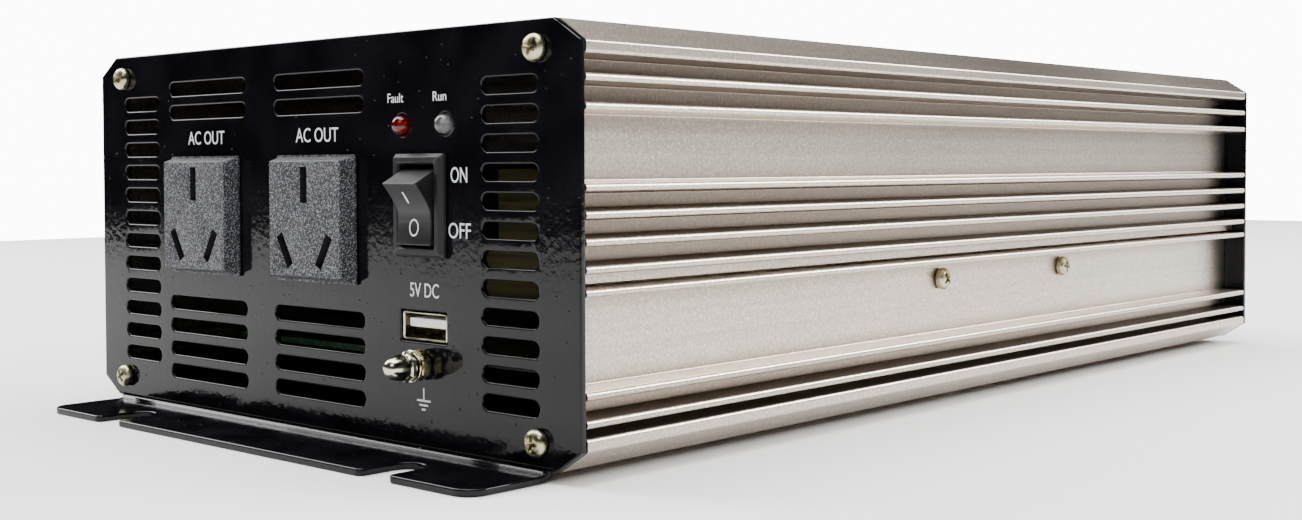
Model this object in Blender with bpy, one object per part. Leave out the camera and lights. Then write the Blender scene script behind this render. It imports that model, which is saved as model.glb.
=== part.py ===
"""Power inverter: finned two-part aluminium case, steel end panels, outlets, fans and inside parts.

Metres, +Z up.  The front panel faces -Y.  X runs along the panel, to the right as seen from the front.
The origin is under the middle of the object, on the surface that its two foot flanges stand on.
"""
import math

import bmesh
import bpy
from mathutils import Matrix, Vector
from mathutils.geometry import interpolate_bezier

# ---------------------------------------------------------------- driving dimensions
CASE_WIDTH = 0.168
CASE_HEIGHT = 0.085
CASE_LENGTH = 0.316
CASE_RISE = 0.002            # underside of the case above the feet
CORNER_X = 0.0068            # bevelled corner of case and panels, across
CORNER_Z = 0.0045            # the same, upwards
GAP = 0.0003                 # between pieces that touch
SHANK_GAP = 0.0003           # round a screw or stud in its hole

# aluminium case
FIN_DEPTH = 0.0065
FIN_TIP = 0.0016
FIN_ROOT = 0.0022
CORNER_FIN = 0.0012          # straight part of the corner fins
WALL = 0.0020
ROOF = 0.0025
TOP_FIN_DROPS = (0.0112, 0.0166)                 # fin centres below the top
SEAM_FIN_RISES = (0.0185, 0.0134, 0.0083, 0.0032)  # fin centres above the seam
SEAM_RISE = 0.0349           # seam above the underside
SEAM_GAP = 0.0006
SEAM_FIN_DROP = 0.0011       # centre of the lower part's top fin below the seam
BASE_FIN_RISES = (0.0147, 0.0095)                # fin centres above the underside
SKIRT_DEPTH = 0.0040         # recess depth between the seam's two fins
LIP_THICK = 0.0010
LIP_HEIGHT = 0.0034
ROOF_GROOVES = 5
ROOF_GROOVE_PITCH = 0.0060
ROOF_GROOVE_WIDTH = 0.0024
ROOF_GROOVE_DEPTH = 0.0010
ROOF_GROOVE_START = 0.0340

# end panels and their feet
PANEL_THICK = 0.0015
BEND_RADIUS = 0.0015
BEND_STEPS = 4
FOOT_REACH = 0.0200
FRONT_FOOT_INSET = 0.0086    # foot's end in from the case's side
REAR_FOOT_INSET = 0.0200
FOOT_CORNER = 0.0045
NOTCH_INSET = 0.0356         # notch in from the case's side
NOTCH_WIDTH = 0.0080
NOTCH_DEPTH = 0.0120
NOTCH_LIP = 0.0015

# screws
SCREW_RADIUS = 0.0015
SCREW_HEAD_RADIUS = 0.0027
SCREW_HEAD_HEIGHT = 0.0020
PORT_X_INSET = 0.0110        # screw ports in from the case's side
PORT_TOP_DROP = 0.0055
PORT_BASE_RISE = 0.0053
PORT_BLOCK = 0.0034          # half size of the metal round a port
PANEL_SCREW_LENGTH = 0.0100
SIDE_SCREW_RISE = 0.0290
SIDE_SCREW_Y = (-0.0229, 0.0409)
SIDE_SCREW_LENGTH = 0.0115

# vents
SLOT_HEIGHT = 0.00315
SLOT_PITCH = 0.00558
EDGE_SLOT_COUNT = 12
EDGE_SLOT_LENGTH = 0.0156
EDGE_SLOT_INSET = 0.0187     # slot's middle in from the case's side
EDGE_SLOT_TOP_DROP = 0.0121
OUTLET_SLOT_LENGTH = 0.0316
OUTLET_SLOTS_ABOVE = (0.0299, 0.0243)
OUTLET_SLOTS_BELOW = (0.0212, 0.0267, 0.0323, 0.03785)

# outlets
OUTLET_X = (-0.0370, 0.0055)
OUTLET_RISE = 0.0462         # outlet centres above the case's underside
OUTLET_BASE = 0.0276
OUTLET_FACE = 0.0247
OUTLET_LIP = 0.0008
OUTLET_PROUD = 0.0038
OUTLET_BODY = 0.0250
OUTLET_DEPTH = 0.0200
PIN_SLOT = (0.0023, 0.0078)
PIN_SLOT_DEPTH = 0.0120
EARTH_PIN_UP = 0.00735
LIVE_PIN_DOWN = 0.0069
LIVE_PIN_X = 0.00685
LIVE_PIN_TILT = math.radians(30)

# controls, one above the other
CONTROL_X = 0.0401
SWITCH_RISE = 0.0495
SWITCH_BEZEL = (0.0150, 0.0210)
SWITCH_BODY = (0.0130, 0.0190)
SWITCH_WINDOW = (0.0106, 0.0166)
SWITCH_PROUD = 0.0020
SWITCH_BEVEL = 0.0005
SWITCH_DEPTH = 0.0150
SWITCH_CAVITY = 0.0090
ROCKER_PIVOT_DEPTH = 0.0010  # rocker's axle behind the panel's face
ROCKER_THROW = math.radians(34)
ROCKER_END = (0.0058, 0.0065)
ROCKER_VALLEY = 0.0036
ROCKER_BACK = 0.0077
ROCKER_PEG = (0.0010, 0.0008)
LED_X = (0.0339, 0.0470)
LED_RISE = 0.0658
LED_RADIUS = 0.0020
LED_PROUD = 0.0022
LED_COLLAR = (0.0005, 0.0060)  # how far it stands out, and its length
USB_RISE = 0.0250
USB_SHELL = (0.0135, 0.0057)
USB_WALL = 0.0004
USB_DEPTH = 0.0140
USB_TONGUE = (0.0111, 0.0018)
USB_TONGUE_SET_BACK = 0.0012
USB_TONGUE_LIFT = 0.0009     # above it, to the shell
USB_BACK_WALL = 0.0020
EARTH_RISE = 0.0173
NUT_ACROSS = 0.0055
NUT_THICK = 0.0024
WASHER = (0.0033, 0.0006)
CAP_NUT_HEIGHT = 0.0060
CAP_NUT_HEX = 0.0022
CAP_NUT_DOME = 0.0026
CAP_NUT_BORE = 0.0044

# fans and battery terminals on the rear panel
FAN_SIZE = 0.0600
FAN_DEPTH = 0.0200
FAN_SIDE_GAP = 0.0005        # to the ledges that hold the board
FAN_CORNER = 0.0030
FAN_BORE = 0.0282
FAN_SCREW_SPAN = 0.0250
FAN_SPIDER = 0.0030
FAN_ARM = 0.0036
FAN_ARM_LAP = 0.0006         # how far an arm runs into the frame
FAN_HUB = 0.0115
FAN_SCREW_LENGTH = 0.0120
ROTOR_TIP = 0.0270
ROTOR_DEPTH = 0.0140
ROTOR_SET_BACK = 0.0010
BLADE_COUNT = 7
BLADE_THICK = 0.0012
BLADE_MARGIN = 0.0015        # in from the hub's ends, and into its side
BLADE_SWEEP = 0.25           # radians, hub to tip
BLADE_TWIST = 0.30           # half of the blade's angle at the hub
BLADE_UNTWIST = 0.06         # less of it at each step outwards
BLADE_STEPS = 3
GRILLE_RADIUS = 0.0272
GRILLE_ROWS = 4              # slots above and below the middle one
TERMINAL_SPACING = 0.0350
TERMINAL_STUD = 0.0030
TERMINAL_NECK = 0.0050
TERMINAL_FLANGE = (0.0090, 0.0040)
TERMINAL_NUT_ACROSS = 0.0100
TERMINAL_NUT_THICK = 0.0050
TERMINAL_WASHER = (0.0060, 0.0012)
TERMINAL_REACH = 0.0185
TERMINAL_TAIL = 0.0090
TERMINAL_TUBE = 0.0030       # insulator's tube behind the panel
TERMINAL_HEAD = 0.0030
TERMINAL_CHAMFER = 0.0008

# inside
BOARD_RISE = 0.0120
BOARD_THICK = 0.0016
BOARD_FRONT_GAP = 0.0330     # room for the outlets in front of the board
BOARD_FAN_GAP = 0.0127       # between the board and the fans
BOARD_LEDGE = 0.0025
LEDGE_THICK = 0.0013
CORE_SIZE = (0.0550, 0.0210, 0.0500)
CORE_LEG = 0.0170
CORE_YOKE = 0.0070
CORE_WINDOW = 0.0100
CORE_PLACES = ((-0.0200, 0.0650), (-0.0200, 0.1450))  # x, and behind the board's front edge
WINDING_BUILD = 0.0090
WINDING_CORNER = 0.0040
TRANSISTOR_BODY = (0.0100, 0.0045, 0.0150)
TRANSISTOR_Y = (0.0, 0.0180)
TRANSISTOR_LEG = (0.0010, 0.0025, 0.0010)  # width, pitch, and how far it runs into the body
CLAMP_BAR = (0.0030, 0.0960, 0.0100)
INPUT_CAPACITOR = (0.0090, 0.0360)     # radius and height
INPUT_CAPACITOR_PLACE = (0.0400, 0.0350)  # x, and in front of the board's rear edge
BUS_CAPACITOR = (0.0150, 0.0450)
BUS_CAPACITOR_PLACE = (0.0380, 0.0600)  # x, and behind the board's front edge
CAPACITOR_EDGE = 0.0008
FUSE_PLACE = (0.0180, 0.0200)          # x, and in front of the board's rear edge
FUSE_SIZE = (0.0190, 0.0050, 0.0120)
CABLE_RADIUS = 0.0025
CABLE_LANDING = (0.0060, 0.0100)       # x, and in front of the board's rear edge

# ---------------------------------------------------------------- worked out from them
HALF_WIDTH = CASE_WIDTH / 2
BASE_Z = CASE_RISE
TOP_Z = CASE_RISE + CASE_HEIGHT
MID_Z = (BASE_Z + TOP_Z) / 2
SEAM_Z = BASE_Z + SEAM_RISE
FACE_Y = CASE_LENGTH / 2 + PANEL_THICK       # outer faces of the panels
INNER_Y = CASE_LENGTH / 2                    # inner faces of the panels
FLOOR_X = HALF_WIDTH - FIN_DEPTH             # floor of the grooves
INSIDE_X = FLOOR_X - WALL
PORT_X = HALF_WIDTH - PORT_X_INSET
PORT_TOP_Z = TOP_Z - PORT_TOP_DROP
PORT_BASE_Z = BASE_Z + PORT_BASE_RISE
HOLE_RADIUS = SCREW_RADIUS + SHANK_GAP
OUTLET_Z = BASE_Z + OUTLET_RISE
SWITCH_Z = BASE_Z + SWITCH_RISE
BOARD_Z = BASE_Z + BOARD_RISE
BOARD_TOP = BOARD_Z + BOARD_THICK
BOARD_FRONT = -INNER_Y + BOARD_FRONT_GAP
BOARD_REAR = INNER_Y - GAP - FAN_DEPTH - BOARD_FAN_GAP
FAN_X = INSIDE_X - BOARD_LEDGE - FAN_SIDE_GAP - FAN_SIZE / 2
EDGE_SLOT_X = HALF_WIDTH - EDGE_SLOT_INSET
NOTCH_X = HALF_WIDTH - NOTCH_INSET


# ---------------------------------------------------------------- shape helpers
def material(name, colour, roughness, metallic):
    """Principled material, one for each finish."""
    mat = bpy.data.materials.get(name) or bpy.data.materials.new(name)
    mat.use_nodes = True
    shader = mat.node_tree.nodes["Principled BSDF"]
    shader.inputs["Base Color"].default_value = (*colour, 1.0)
    shader.inputs["Roughness"].default_value = roughness
    shader.inputs["Metallic"].default_value = metallic
    mat.diffuse_color = (*colour, 1.0)
    return mat


def finish(name, bm, mat, place=(0, 0, 0), turn=None, smooth=False):
    """Turn a bmesh into a named object at its place."""
    bmesh.ops.remove_doubles(bm, verts=bm.verts[:], dist=1e-7)
    bmesh.ops.recalc_face_normals(bm, faces=bm.faces[:])
    mesh = bpy.data.meshes.new(name)
    bm.to_mesh(mesh)
    bm.free()
    mesh.materials.append(mat)
    if smooth:
        mesh.shade_smooth()
        mesh.set_sharp_from_angle(angle=math.radians(35))
    obj = bpy.data.objects.new(name, mesh)
    obj.location = place
    if turn:
        obj.rotation_euler = turn
    bpy.context.collection.objects.link(obj)
    return obj


def twin(name, source, place, turn=None):
    """Another object with the same mesh."""
    obj = bpy.data.objects.new(name, source.data)
    obj.location = place
    if turn:
        obj.rotation_euler = turn
    bpy.context.collection.objects.link(obj)
    return obj


def prism(outline, holes, near, far):
    """Flat outline of (x, z) points with holes, extruded from y = near to y = far."""
    bm = bmesh.new()
    for loop in [outline, *holes]:
        verts = [bm.verts.new((x, near, z)) for x, z in loop]
        for a, b in zip(verts, verts[1:] + verts[:1]):
            bm.edges.new((a, b))
    bmesh.ops.triangle_fill(bm, edges=bm.edges[:], use_beauty=True, use_dissolve=False)
    made = bmesh.ops.extrude_face_region(bm, geom=bm.faces[:], use_keep_orig=True)
    moved = [item for item in made["geom"] if isinstance(item, bmesh.types.BMVert)]
    bmesh.ops.translate(bm, verts=moved, vec=(0, far - near, 0))
    return bm


def loft(loops):
    """Closed skin over a row of loops that all have the same number of points."""
    bm = bmesh.new()
    rings = [[bm.verts.new(point) for point in loop] for loop in loops]
    count = len(rings[0])
    for near, far in zip(rings, rings[1:]):
        for i in range(count):
            j = (i + 1) % count
            bm.faces.new((near[i], near[j], far[j], far[i]))
    bm.faces.new(rings[0])
    bm.faces.new(rings[-1][::-1])
    return bm


def box(x0, x1, y0, y1, z0, z1):
    """Plain block between two corners."""
    bm = bmesh.new()
    bmesh.ops.create_cube(bm, size=1.0)
    bmesh.ops.scale(bm, verts=bm.verts[:], vec=(x1 - x0, y1 - y0, z1 - z0))
    centre = ((x0 + x1) / 2, (y0 + y1) / 2, (z0 + z1) / 2)
    bmesh.ops.translate(bm, verts=bm.verts[:], vec=centre)
    return bm


def circle(cx, cz, radius, count):
    """Points round a circle in the x-z plane."""
    steps = [2 * math.pi * i / count for i in range(count)]
    return [(cx + radius * math.cos(a), cz + radius * math.sin(a)) for a in steps]


def ring(radius, y, count=16):
    """Circle of 3-D points round the Y axis."""
    return [(x, y, z) for x, z in circle(0, 0, radius, count)]


def hexagon(across, y, count=24):
    """Hexagon round the Y axis, drawn with a multiple of six points."""
    points = []
    for i in range(count):
        angle = 2 * math.pi * i / count
        off = (angle + math.pi / 6) % (math.pi / 3) - math.pi / 6
        radius = across / 2 / math.cos(off)
        points.append((radius * math.cos(angle), y, radius * math.sin(angle)))
    return points


def rect(width, height, y, cx=0.0, cz=0.0):
    """Rectangle of 3-D points at one depth."""
    w = width / 2
    h = height / 2
    return [(cx - w, y, cz - h), (cx + w, y, cz - h), (cx + w, y, cz + h), (cx - w, y, cz + h)]


def flat_rect(cx, cz, width, height):
    """Rectangle of (x, z) points."""
    return [(x, z) for x, _, z in rect(width, height, 0.0, cx, cz)]


def slot(cx, cz, length, height, steps=4):
    """Long hole with round ends, as (x, z) points."""
    radius = height / 2
    points = []
    for side in (1, -1):
        for i in range(steps + 1):
            angle = side * (-math.pi / 2 + math.pi * i / steps)
            x = side * (length / 2 - radius) + side * radius * math.cos(angle)
            points.append((cx + x, cz + radius * math.sin(angle)))
    return points


def cutter(name, bm, target, operation="DIFFERENCE"):
    """Hidden tool body, applied to the target by an exact Boolean."""
    tool = finish(name, bm, TOOL)
    tool.hide_render = True
    tool.display_type = "WIRE"
    tool.parent = target
    tool.matrix_parent_inverse = Matrix.Identity(4)
    mod = target.modifiers.new(name, "BOOLEAN")
    mod.object = tool
    mod.operation = operation
    mod.solver = "EXACT"
    return tool


# ---------------------------------------------------------------- the case
def fin(height):
    """Outline of one fin on the right-hand side, from its top root to its bottom root."""
    tip = FIN_TIP / 2
    root = FIN_ROOT / 2
    points = [(FLOOR_X, height + root)]
    for i in range(5):
        angle = math.pi / 2 - math.pi * i / 4
        points.append((HALF_WIDTH - tip + tip * math.cos(angle), height + tip * math.sin(angle)))
    points.append((FLOOR_X, height - root))
    return points


def mirrored(half):
    """Full outline from its right-hand half, which starts and ends on the middle line."""
    left = [(-x, z) for x, z in reversed(half) if x > 1e-9]
    return half + left


def upper_outline():
    """Right half of the upper case's section, from the roof's middle round to its underside."""
    roof = [(0.0, TOP_Z)]
    for i in range(ROOF_GROOVES):
        start = ROOF_GROOVE_START + i * ROOF_GROOVE_PITCH
        end = start + ROOF_GROOVE_WIDTH
        low = TOP_Z - ROOF_GROOVE_DEPTH
        roof += [(start, TOP_Z), (start, low), (end, low), (end, TOP_Z)]
    corner = TOP_Z - CORNER_Z
    side = [(HALF_WIDTH - CORNER_X, TOP_Z), (HALF_WIDTH, corner)]
    side += [(HALF_WIDTH, corner - CORNER_FIN), (HALF_WIDTH - FIN_TIP / 2, corner - 2 * CORNER_FIN)]
    side += [(FLOOR_X, corner - 2 * CORNER_FIN - FIN_TIP / 4)]
    heights = [TOP_Z - drop for drop in TOP_FIN_DROPS] + [SEAM_Z + rise for rise in SEAM_FIN_RISES]
    for height in heights:
        side += fin(height)
    skirt = HALF_WIDTH - SKIRT_DEPTH
    last = side.pop()
    side += [(skirt, last[1] + FIN_ROOT / 8), (skirt, SEAM_Z + SEAM_GAP / 2)]
    lap = INSIDE_X + LIP_THICK + GAP
    step = SEAM_Z + LIP_HEIGHT + GAP
    side += [(lap, SEAM_Z + SEAM_GAP / 2), (lap, step), (INSIDE_X, step)]
    block = PORT_TOP_Z - PORT_BLOCK
    edge = PORT_X - PORT_BLOCK
    side += [(INSIDE_X, block), (edge, block), (edge, TOP_Z - ROOF), (0.0, TOP_Z - ROOF)]
    return mirrored(roof + side)


def lower_outline():
    """Right half of the lower case's section, from the floor's middle round to the lip."""
    side = [(0.0, BASE_Z + WALL)]
    edge = PORT_X - PORT_BLOCK
    block = PORT_BASE_Z + PORT_BLOCK
    side += [(edge, BASE_Z + WALL), (edge, block), (INSIDE_X, block)]
    for top in (BOARD_Z - GAP, BOARD_TOP + GAP + LEDGE_THICK):
        low = top - LEDGE_THICK
        side += [(INSIDE_X, low), (INSIDE_X - BOARD_LEDGE, low), (INSIDE_X - BOARD_LEDGE, top)]
        side += [(INSIDE_X, top)]
    lip = SEAM_Z + LIP_HEIGHT
    side += [(INSIDE_X, lip), (INSIDE_X + LIP_THICK, lip)]
    side += [(INSIDE_X + LIP_THICK, SEAM_Z - SEAM_GAP / 2)]
    top_fin = fin(SEAM_Z - SEAM_FIN_DROP)
    side += top_fin[1:]
    for rise in BASE_FIN_RISES:
        side += fin(BASE_Z + rise)
    corner = BASE_Z + CORNER_Z
    side += [(FLOOR_X, corner + 2 * CORNER_FIN + FIN_TIP / 4)]
    side += [(HALF_WIDTH - FIN_TIP / 2, corner + 2 * CORNER_FIN), (HALF_WIDTH, corner + CORNER_FIN)]
    side += [(HALF_WIDTH, corner), (HALF_WIDTH - CORNER_X, BASE_Z), (0.0, BASE_Z)]
    return mirrored(side)


def make_case():
    """Two aluminium extrusions that lap along a seam low on each side."""
    near = -INNER_Y + GAP
    far = INNER_Y - GAP
    ports = [circle(side * PORT_X, PORT_TOP_Z, HOLE_RADIUS, 12) for side in (-1, 1)]
    finish("upper_case", prism(upper_outline(), ports, near, far), ALUMINIUM, smooth=True)
    ports = [circle(side * PORT_X, PORT_BASE_Z, HOLE_RADIUS, 12) for side in (-1, 1)]
    lower = finish("lower_case", prism(lower_outline(), ports, near, far), ALUMINIUM, smooth=True)
    reach = HALF_WIDTH + GAP
    for i, y in enumerate(SIDE_SCREW_Y):
        drill = loft([ring(HOLE_RADIUS, -reach, 12), ring(HOLE_RADIUS, reach, 12)])
        bmesh.ops.rotate(drill, verts=drill.verts[:], matrix=Matrix.Rotation(math.pi / 2, 3, "Z"))
        bmesh.ops.translate(drill, verts=drill.verts[:], vec=(0, y, BASE_Z + SIDE_SCREW_RISE))
        cutter(f"side_hole_{i + 1}", drill, lower)


# ---------------------------------------------------------------- the end panels
def foot_edge(foot_width, flat_low):
    """Free edge of a flat foot, from right to left, with two open notches."""
    half = foot_width / 2
    points = []
    for i in range(5):
        angle = -math.pi / 2 * i / 4
        points.append((half - FOOT_CORNER + FOOT_CORNER * math.cos(angle),
                       flat_low + FOOT_CORNER + FOOT_CORNER * math.sin(angle)))
    for centre in (NOTCH_X, -NOTCH_X):
        radius = NOTCH_WIDTH / 2
        top = flat_low + NOTCH_DEPTH - radius
        points += [(centre + radius + NOTCH_LIP, flat_low), (centre + radius, flat_low + NOTCH_LIP)]
        for i in range(7):
            angle = math.pi * i / 6
            points.append((centre + radius * math.cos(angle), top + radius * math.sin(angle)))
        points += [(centre - radius, flat_low + NOTCH_LIP), (centre - radius - NOTCH_LIP, flat_low)]
    for i in range(5):
        angle = -math.pi / 2 - math.pi / 2 * i / 4
        points.append((-half + FOOT_CORNER + FOOT_CORNER * math.cos(angle),
                       flat_low + FOOT_CORNER + FOOT_CORNER * math.sin(angle)))
    return points


def bent_panel(name, holes, foot_width):
    """Sheet steel panel, drawn flat and then folded along its foot.

    The panel faces -Y with its outer face at y = 0.  Below the bend line the sheet turns forward.
    """
    bend_top = PANEL_THICK + BEND_RADIUS
    middle = BEND_RADIUS + PANEL_THICK / 2
    bend_flat = middle * math.pi / 2
    foot_flat = FOOT_REACH - BEND_RADIUS
    flat_low = bend_top - bend_flat - foot_flat
    half = foot_width / 2
    outline = [(HALF_WIDTH - CORNER_X, TOP_Z), (HALF_WIDTH, TOP_Z - CORNER_Z)]
    outline += [(HALF_WIDTH, BASE_Z + CORNER_Z), (HALF_WIDTH - CORNER_X, BASE_Z), (half, BASE_Z)]
    outline += foot_edge(foot_width, flat_low)
    outline += [(-half, BASE_Z), (CORNER_X - HALF_WIDTH, BASE_Z), (-HALF_WIDTH, BASE_Z + CORNER_Z)]
    outline += [(-HALF_WIDTH, TOP_Z - CORNER_Z), (CORNER_X - HALF_WIDTH, TOP_Z)]
    bm = prism(outline, holes, 0.0, PANEL_THICK)
    for i in range(BEND_STEPS + 1):
        level = bend_top - bend_flat * i / BEND_STEPS
        bmesh.ops.bisect_plane(bm, geom=bm.verts[:] + bm.edges[:] + bm.faces[:], dist=1e-7,
                               plane_co=(0, 0, level), plane_no=(0, 0, 1))
    for vert in bm.verts:
        below = bend_top - vert.co.z
        if below <= 0:
            continue
        radius = BEND_RADIUS + vert.co.y
        angle = min(below, bend_flat) / middle
        past = max(below - bend_flat, 0.0)
        vert.co.y = -BEND_RADIUS + radius * math.cos(angle) - past
        vert.co.z = bend_top - radius * math.sin(angle)
    return bm


def screw_holes():
    """Holes for the four screws of a panel."""
    places = [(x, z) for x in (-PORT_X, PORT_X) for z in (PORT_TOP_Z, PORT_BASE_Z)]
    return [circle(x, z, HOLE_RADIUS, 12) for x, z in places]


def front_holes():
    """Vents, outlets and controls on the front panel."""
    holes = screw_holes()
    top = TOP_Z - EDGE_SLOT_TOP_DROP
    for side in (-1, 1):
        for i in range(EDGE_SLOT_COUNT):
            height = top - i * SLOT_PITCH
            holes.append(slot(side * EDGE_SLOT_X, height, EDGE_SLOT_LENGTH, SLOT_HEIGHT))
    for x in OUTLET_X:
        heights = [OUTLET_Z + rise for rise in OUTLET_SLOTS_ABOVE]
        heights += [OUTLET_Z - drop for drop in OUTLET_SLOTS_BELOW]
        for height in heights:
            holes.append(slot(x, height, OUTLET_SLOT_LENGTH, SLOT_HEIGHT))
        size = OUTLET_BODY + 2 * GAP
        holes.append(flat_rect(x, OUTLET_Z, size, size))
    width, height = SWITCH_BODY
    holes.append(flat_rect(CONTROL_X, SWITCH_Z, width + 2 * GAP, height + 2 * GAP))
    for x in LED_X:
        holes.append(circle(x, BASE_Z + LED_RISE, LED_RADIUS + GAP, 16))
    width, height = USB_SHELL
    holes.append(flat_rect(CONTROL_X, BASE_Z + USB_RISE, width + 2 * GAP, height + 2 * GAP))
    holes.append(circle(CONTROL_X, BASE_Z + EARTH_RISE, HOLE_RADIUS, 12))
    return holes


def fan_centres():
    """(x, z) of the two fans as seen from behind the rear panel."""
    return [(-FAN_X, MID_Z), (FAN_X, MID_Z)]


def fan_screw_places(x, z):
    """Two opposite corners of a fan."""
    return [(x - FAN_SCREW_SPAN, z + FAN_SCREW_SPAN), (x + FAN_SCREW_SPAN, z - FAN_SCREW_SPAN)]


def rear_holes():
    """Fan grilles, fan screws and terminal holes on the rear panel."""
    holes = screw_holes()
    for x, z in fan_centres():
        for row in range(-GRILLE_ROWS, GRILLE_ROWS + 1):
            rise = row * SLOT_PITCH
            reach = abs(rise) + SLOT_HEIGHT / 2
            chord = 2 * math.sqrt(GRILLE_RADIUS ** 2 - reach ** 2)
            holes.append(slot(x, z + rise, chord, SLOT_HEIGHT))
        for px, pz in fan_screw_places(x, z):
            holes.append(circle(-px, pz, HOLE_RADIUS, 12))   # the panel is turned round
    for side in (-1, 1):
        holes.append(circle(0, MID_Z + side * TERMINAL_SPACING / 2, TERMINAL_NECK + GAP, 16))
    return holes


def make_panels():
    """Front and rear panels; the rear one is turned to face backwards."""
    front = bent_panel("front_panel", front_holes(), CASE_WIDTH - 2 * FRONT_FOOT_INSET)
    finish("front_panel", front, POWDER, place=(0, -FACE_Y, 0))
    rear = bent_panel("rear_panel", rear_holes(), CASE_WIDTH - 2 * REAR_FOOT_INSET)
    finish("rear_panel", rear, POWDER, place=(0, FACE_Y, 0), turn=(0, 0, math.pi))


# ---------------------------------------------------------------- screws
def pan_screw(length):
    """Pan-head screw along Y, head at -Y, with the seat of the head at y = 0."""
    head = SCREW_HEAD_RADIUS
    high = SCREW_HEAD_HEIGHT
    loops = [ring(SCREW_RADIUS, length, 12), ring(SCREW_RADIUS, 0.0, 12), ring(head, 0.0, 12)]
    loops += [ring(head, -high * 0.45, 12), ring(head * 0.82, -high * 0.85, 12)]
    loops += [ring(head * 0.42, -high, 12)]
    return loft(loops)


def make_screws():
    """Four screws for each panel, two on each side, two for each fan."""
    length = PANEL_SCREW_LENGTH
    first = finish("front_screw_1", pan_screw(length), NICKEL, smooth=True,
                   place=(-PORT_X, -FACE_Y - GAP, PORT_TOP_Z))
    places = [(x, z) for x in (-PORT_X, PORT_X) for z in (PORT_TOP_Z, PORT_BASE_Z)]
    for i, (x, z) in enumerate(places[1:]):
        twin(f"front_screw_{i + 2}", first, (x, -FACE_Y - GAP, z))
    for i, (x, z) in enumerate(places):
        twin(f"rear_screw_{i + 1}", first, (x, FACE_Y + GAP, z), (0, 0, math.pi))
    seat = FLOOR_X + GAP
    height = BASE_Z + SIDE_SCREW_RISE
    side = None
    for i, (sign, y) in enumerate([(s, y) for s in (-1, 1) for y in SIDE_SCREW_Y]):
        turn = (0, 0, sign * math.pi / 2)
        if side is None:
            side = finish("side_screw_1", pan_screw(SIDE_SCREW_LENGTH), NICKEL, smooth=True,
                          place=(sign * seat, y, height), turn=turn)
        else:
            twin(f"side_screw_{i + 1}", side, (sign * seat, y, height), turn)
    fan = None
    spots = [spot for centre in fan_centres() for spot in fan_screw_places(*centre)]
    for i, (x, z) in enumerate(spots):
        place = (x, FACE_Y + GAP, z)
        if fan is None:
            fan = finish("fan_screw_1", pan_screw(FAN_SCREW_LENGTH), NICKEL, smooth=True,
                         place=place, turn=(0, 0, math.pi))
        else:
            twin(f"fan_screw_{i + 1}", fan, place, (0, 0, math.pi))


# ---------------------------------------------------------------- front of the inverter
def make_outlets():
    """Two snap-in outlets, each with one upright and two slanting pin slots."""
    for name, x in zip(("outlet_left", "outlet_right"), OUTLET_X):
        loops = [rect(OUTLET_BODY, OUTLET_BODY, PANEL_THICK + OUTLET_DEPTH)]
        loops += [rect(OUTLET_BODY, OUTLET_BODY, -GAP), rect(OUTLET_BASE, OUTLET_BASE, -GAP)]
        loops += [rect(OUTLET_BASE, OUTLET_BASE, -OUTLET_LIP)]
        loops += [rect(OUTLET_FACE, OUTLET_FACE, -OUTLET_PROUD)]
        outlet = finish(name, loft(loops), DARK_PLASTIC, place=(x, -FACE_Y, OUTLET_Z))
        wide, tall = PIN_SLOT
        pins = [(0.0, EARTH_PIN_UP, 0.0), (-LIVE_PIN_X, -LIVE_PIN_DOWN, LIVE_PIN_TILT)]
        pins += [(LIVE_PIN_X, -LIVE_PIN_DOWN, -LIVE_PIN_TILT)]
        for i, (px, pz, tilt) in enumerate(pins):
            pocket = box(-wide / 2, wide / 2, -2 * OUTLET_PROUD, PIN_SLOT_DEPTH - OUTLET_PROUD,
                         -tall / 2, tall / 2)
            bmesh.ops.rotate(pocket, verts=pocket.verts[:], matrix=Matrix.Rotation(-tilt, 3, "Y"))
            bmesh.ops.translate(pocket, verts=pocket.verts[:], vec=(px, 0, pz))
            cutter(f"{name}_pin_{i + 1}", pocket, outlet)


def rocker_profile():
    """Side view of the rocker about its axle, as (y, z), in its middle position."""
    end_y, end_z = ROCKER_END
    points = []
    for i in range(-4, 5):
        share = i / 4
        depth = ROCKER_VALLEY + (end_y - ROCKER_VALLEY) * abs(share) ** 1.4
        points.append((-depth, end_z * share))
    points += [(ROCKER_VALLEY / 8, ROCKER_BACK), (ROCKER_VALLEY, ROCKER_BACK / 2)]
    points += [(ROCKER_VALLEY, -ROCKER_BACK / 2), (ROCKER_VALLEY / 8, -ROCKER_BACK)]
    return points


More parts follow.
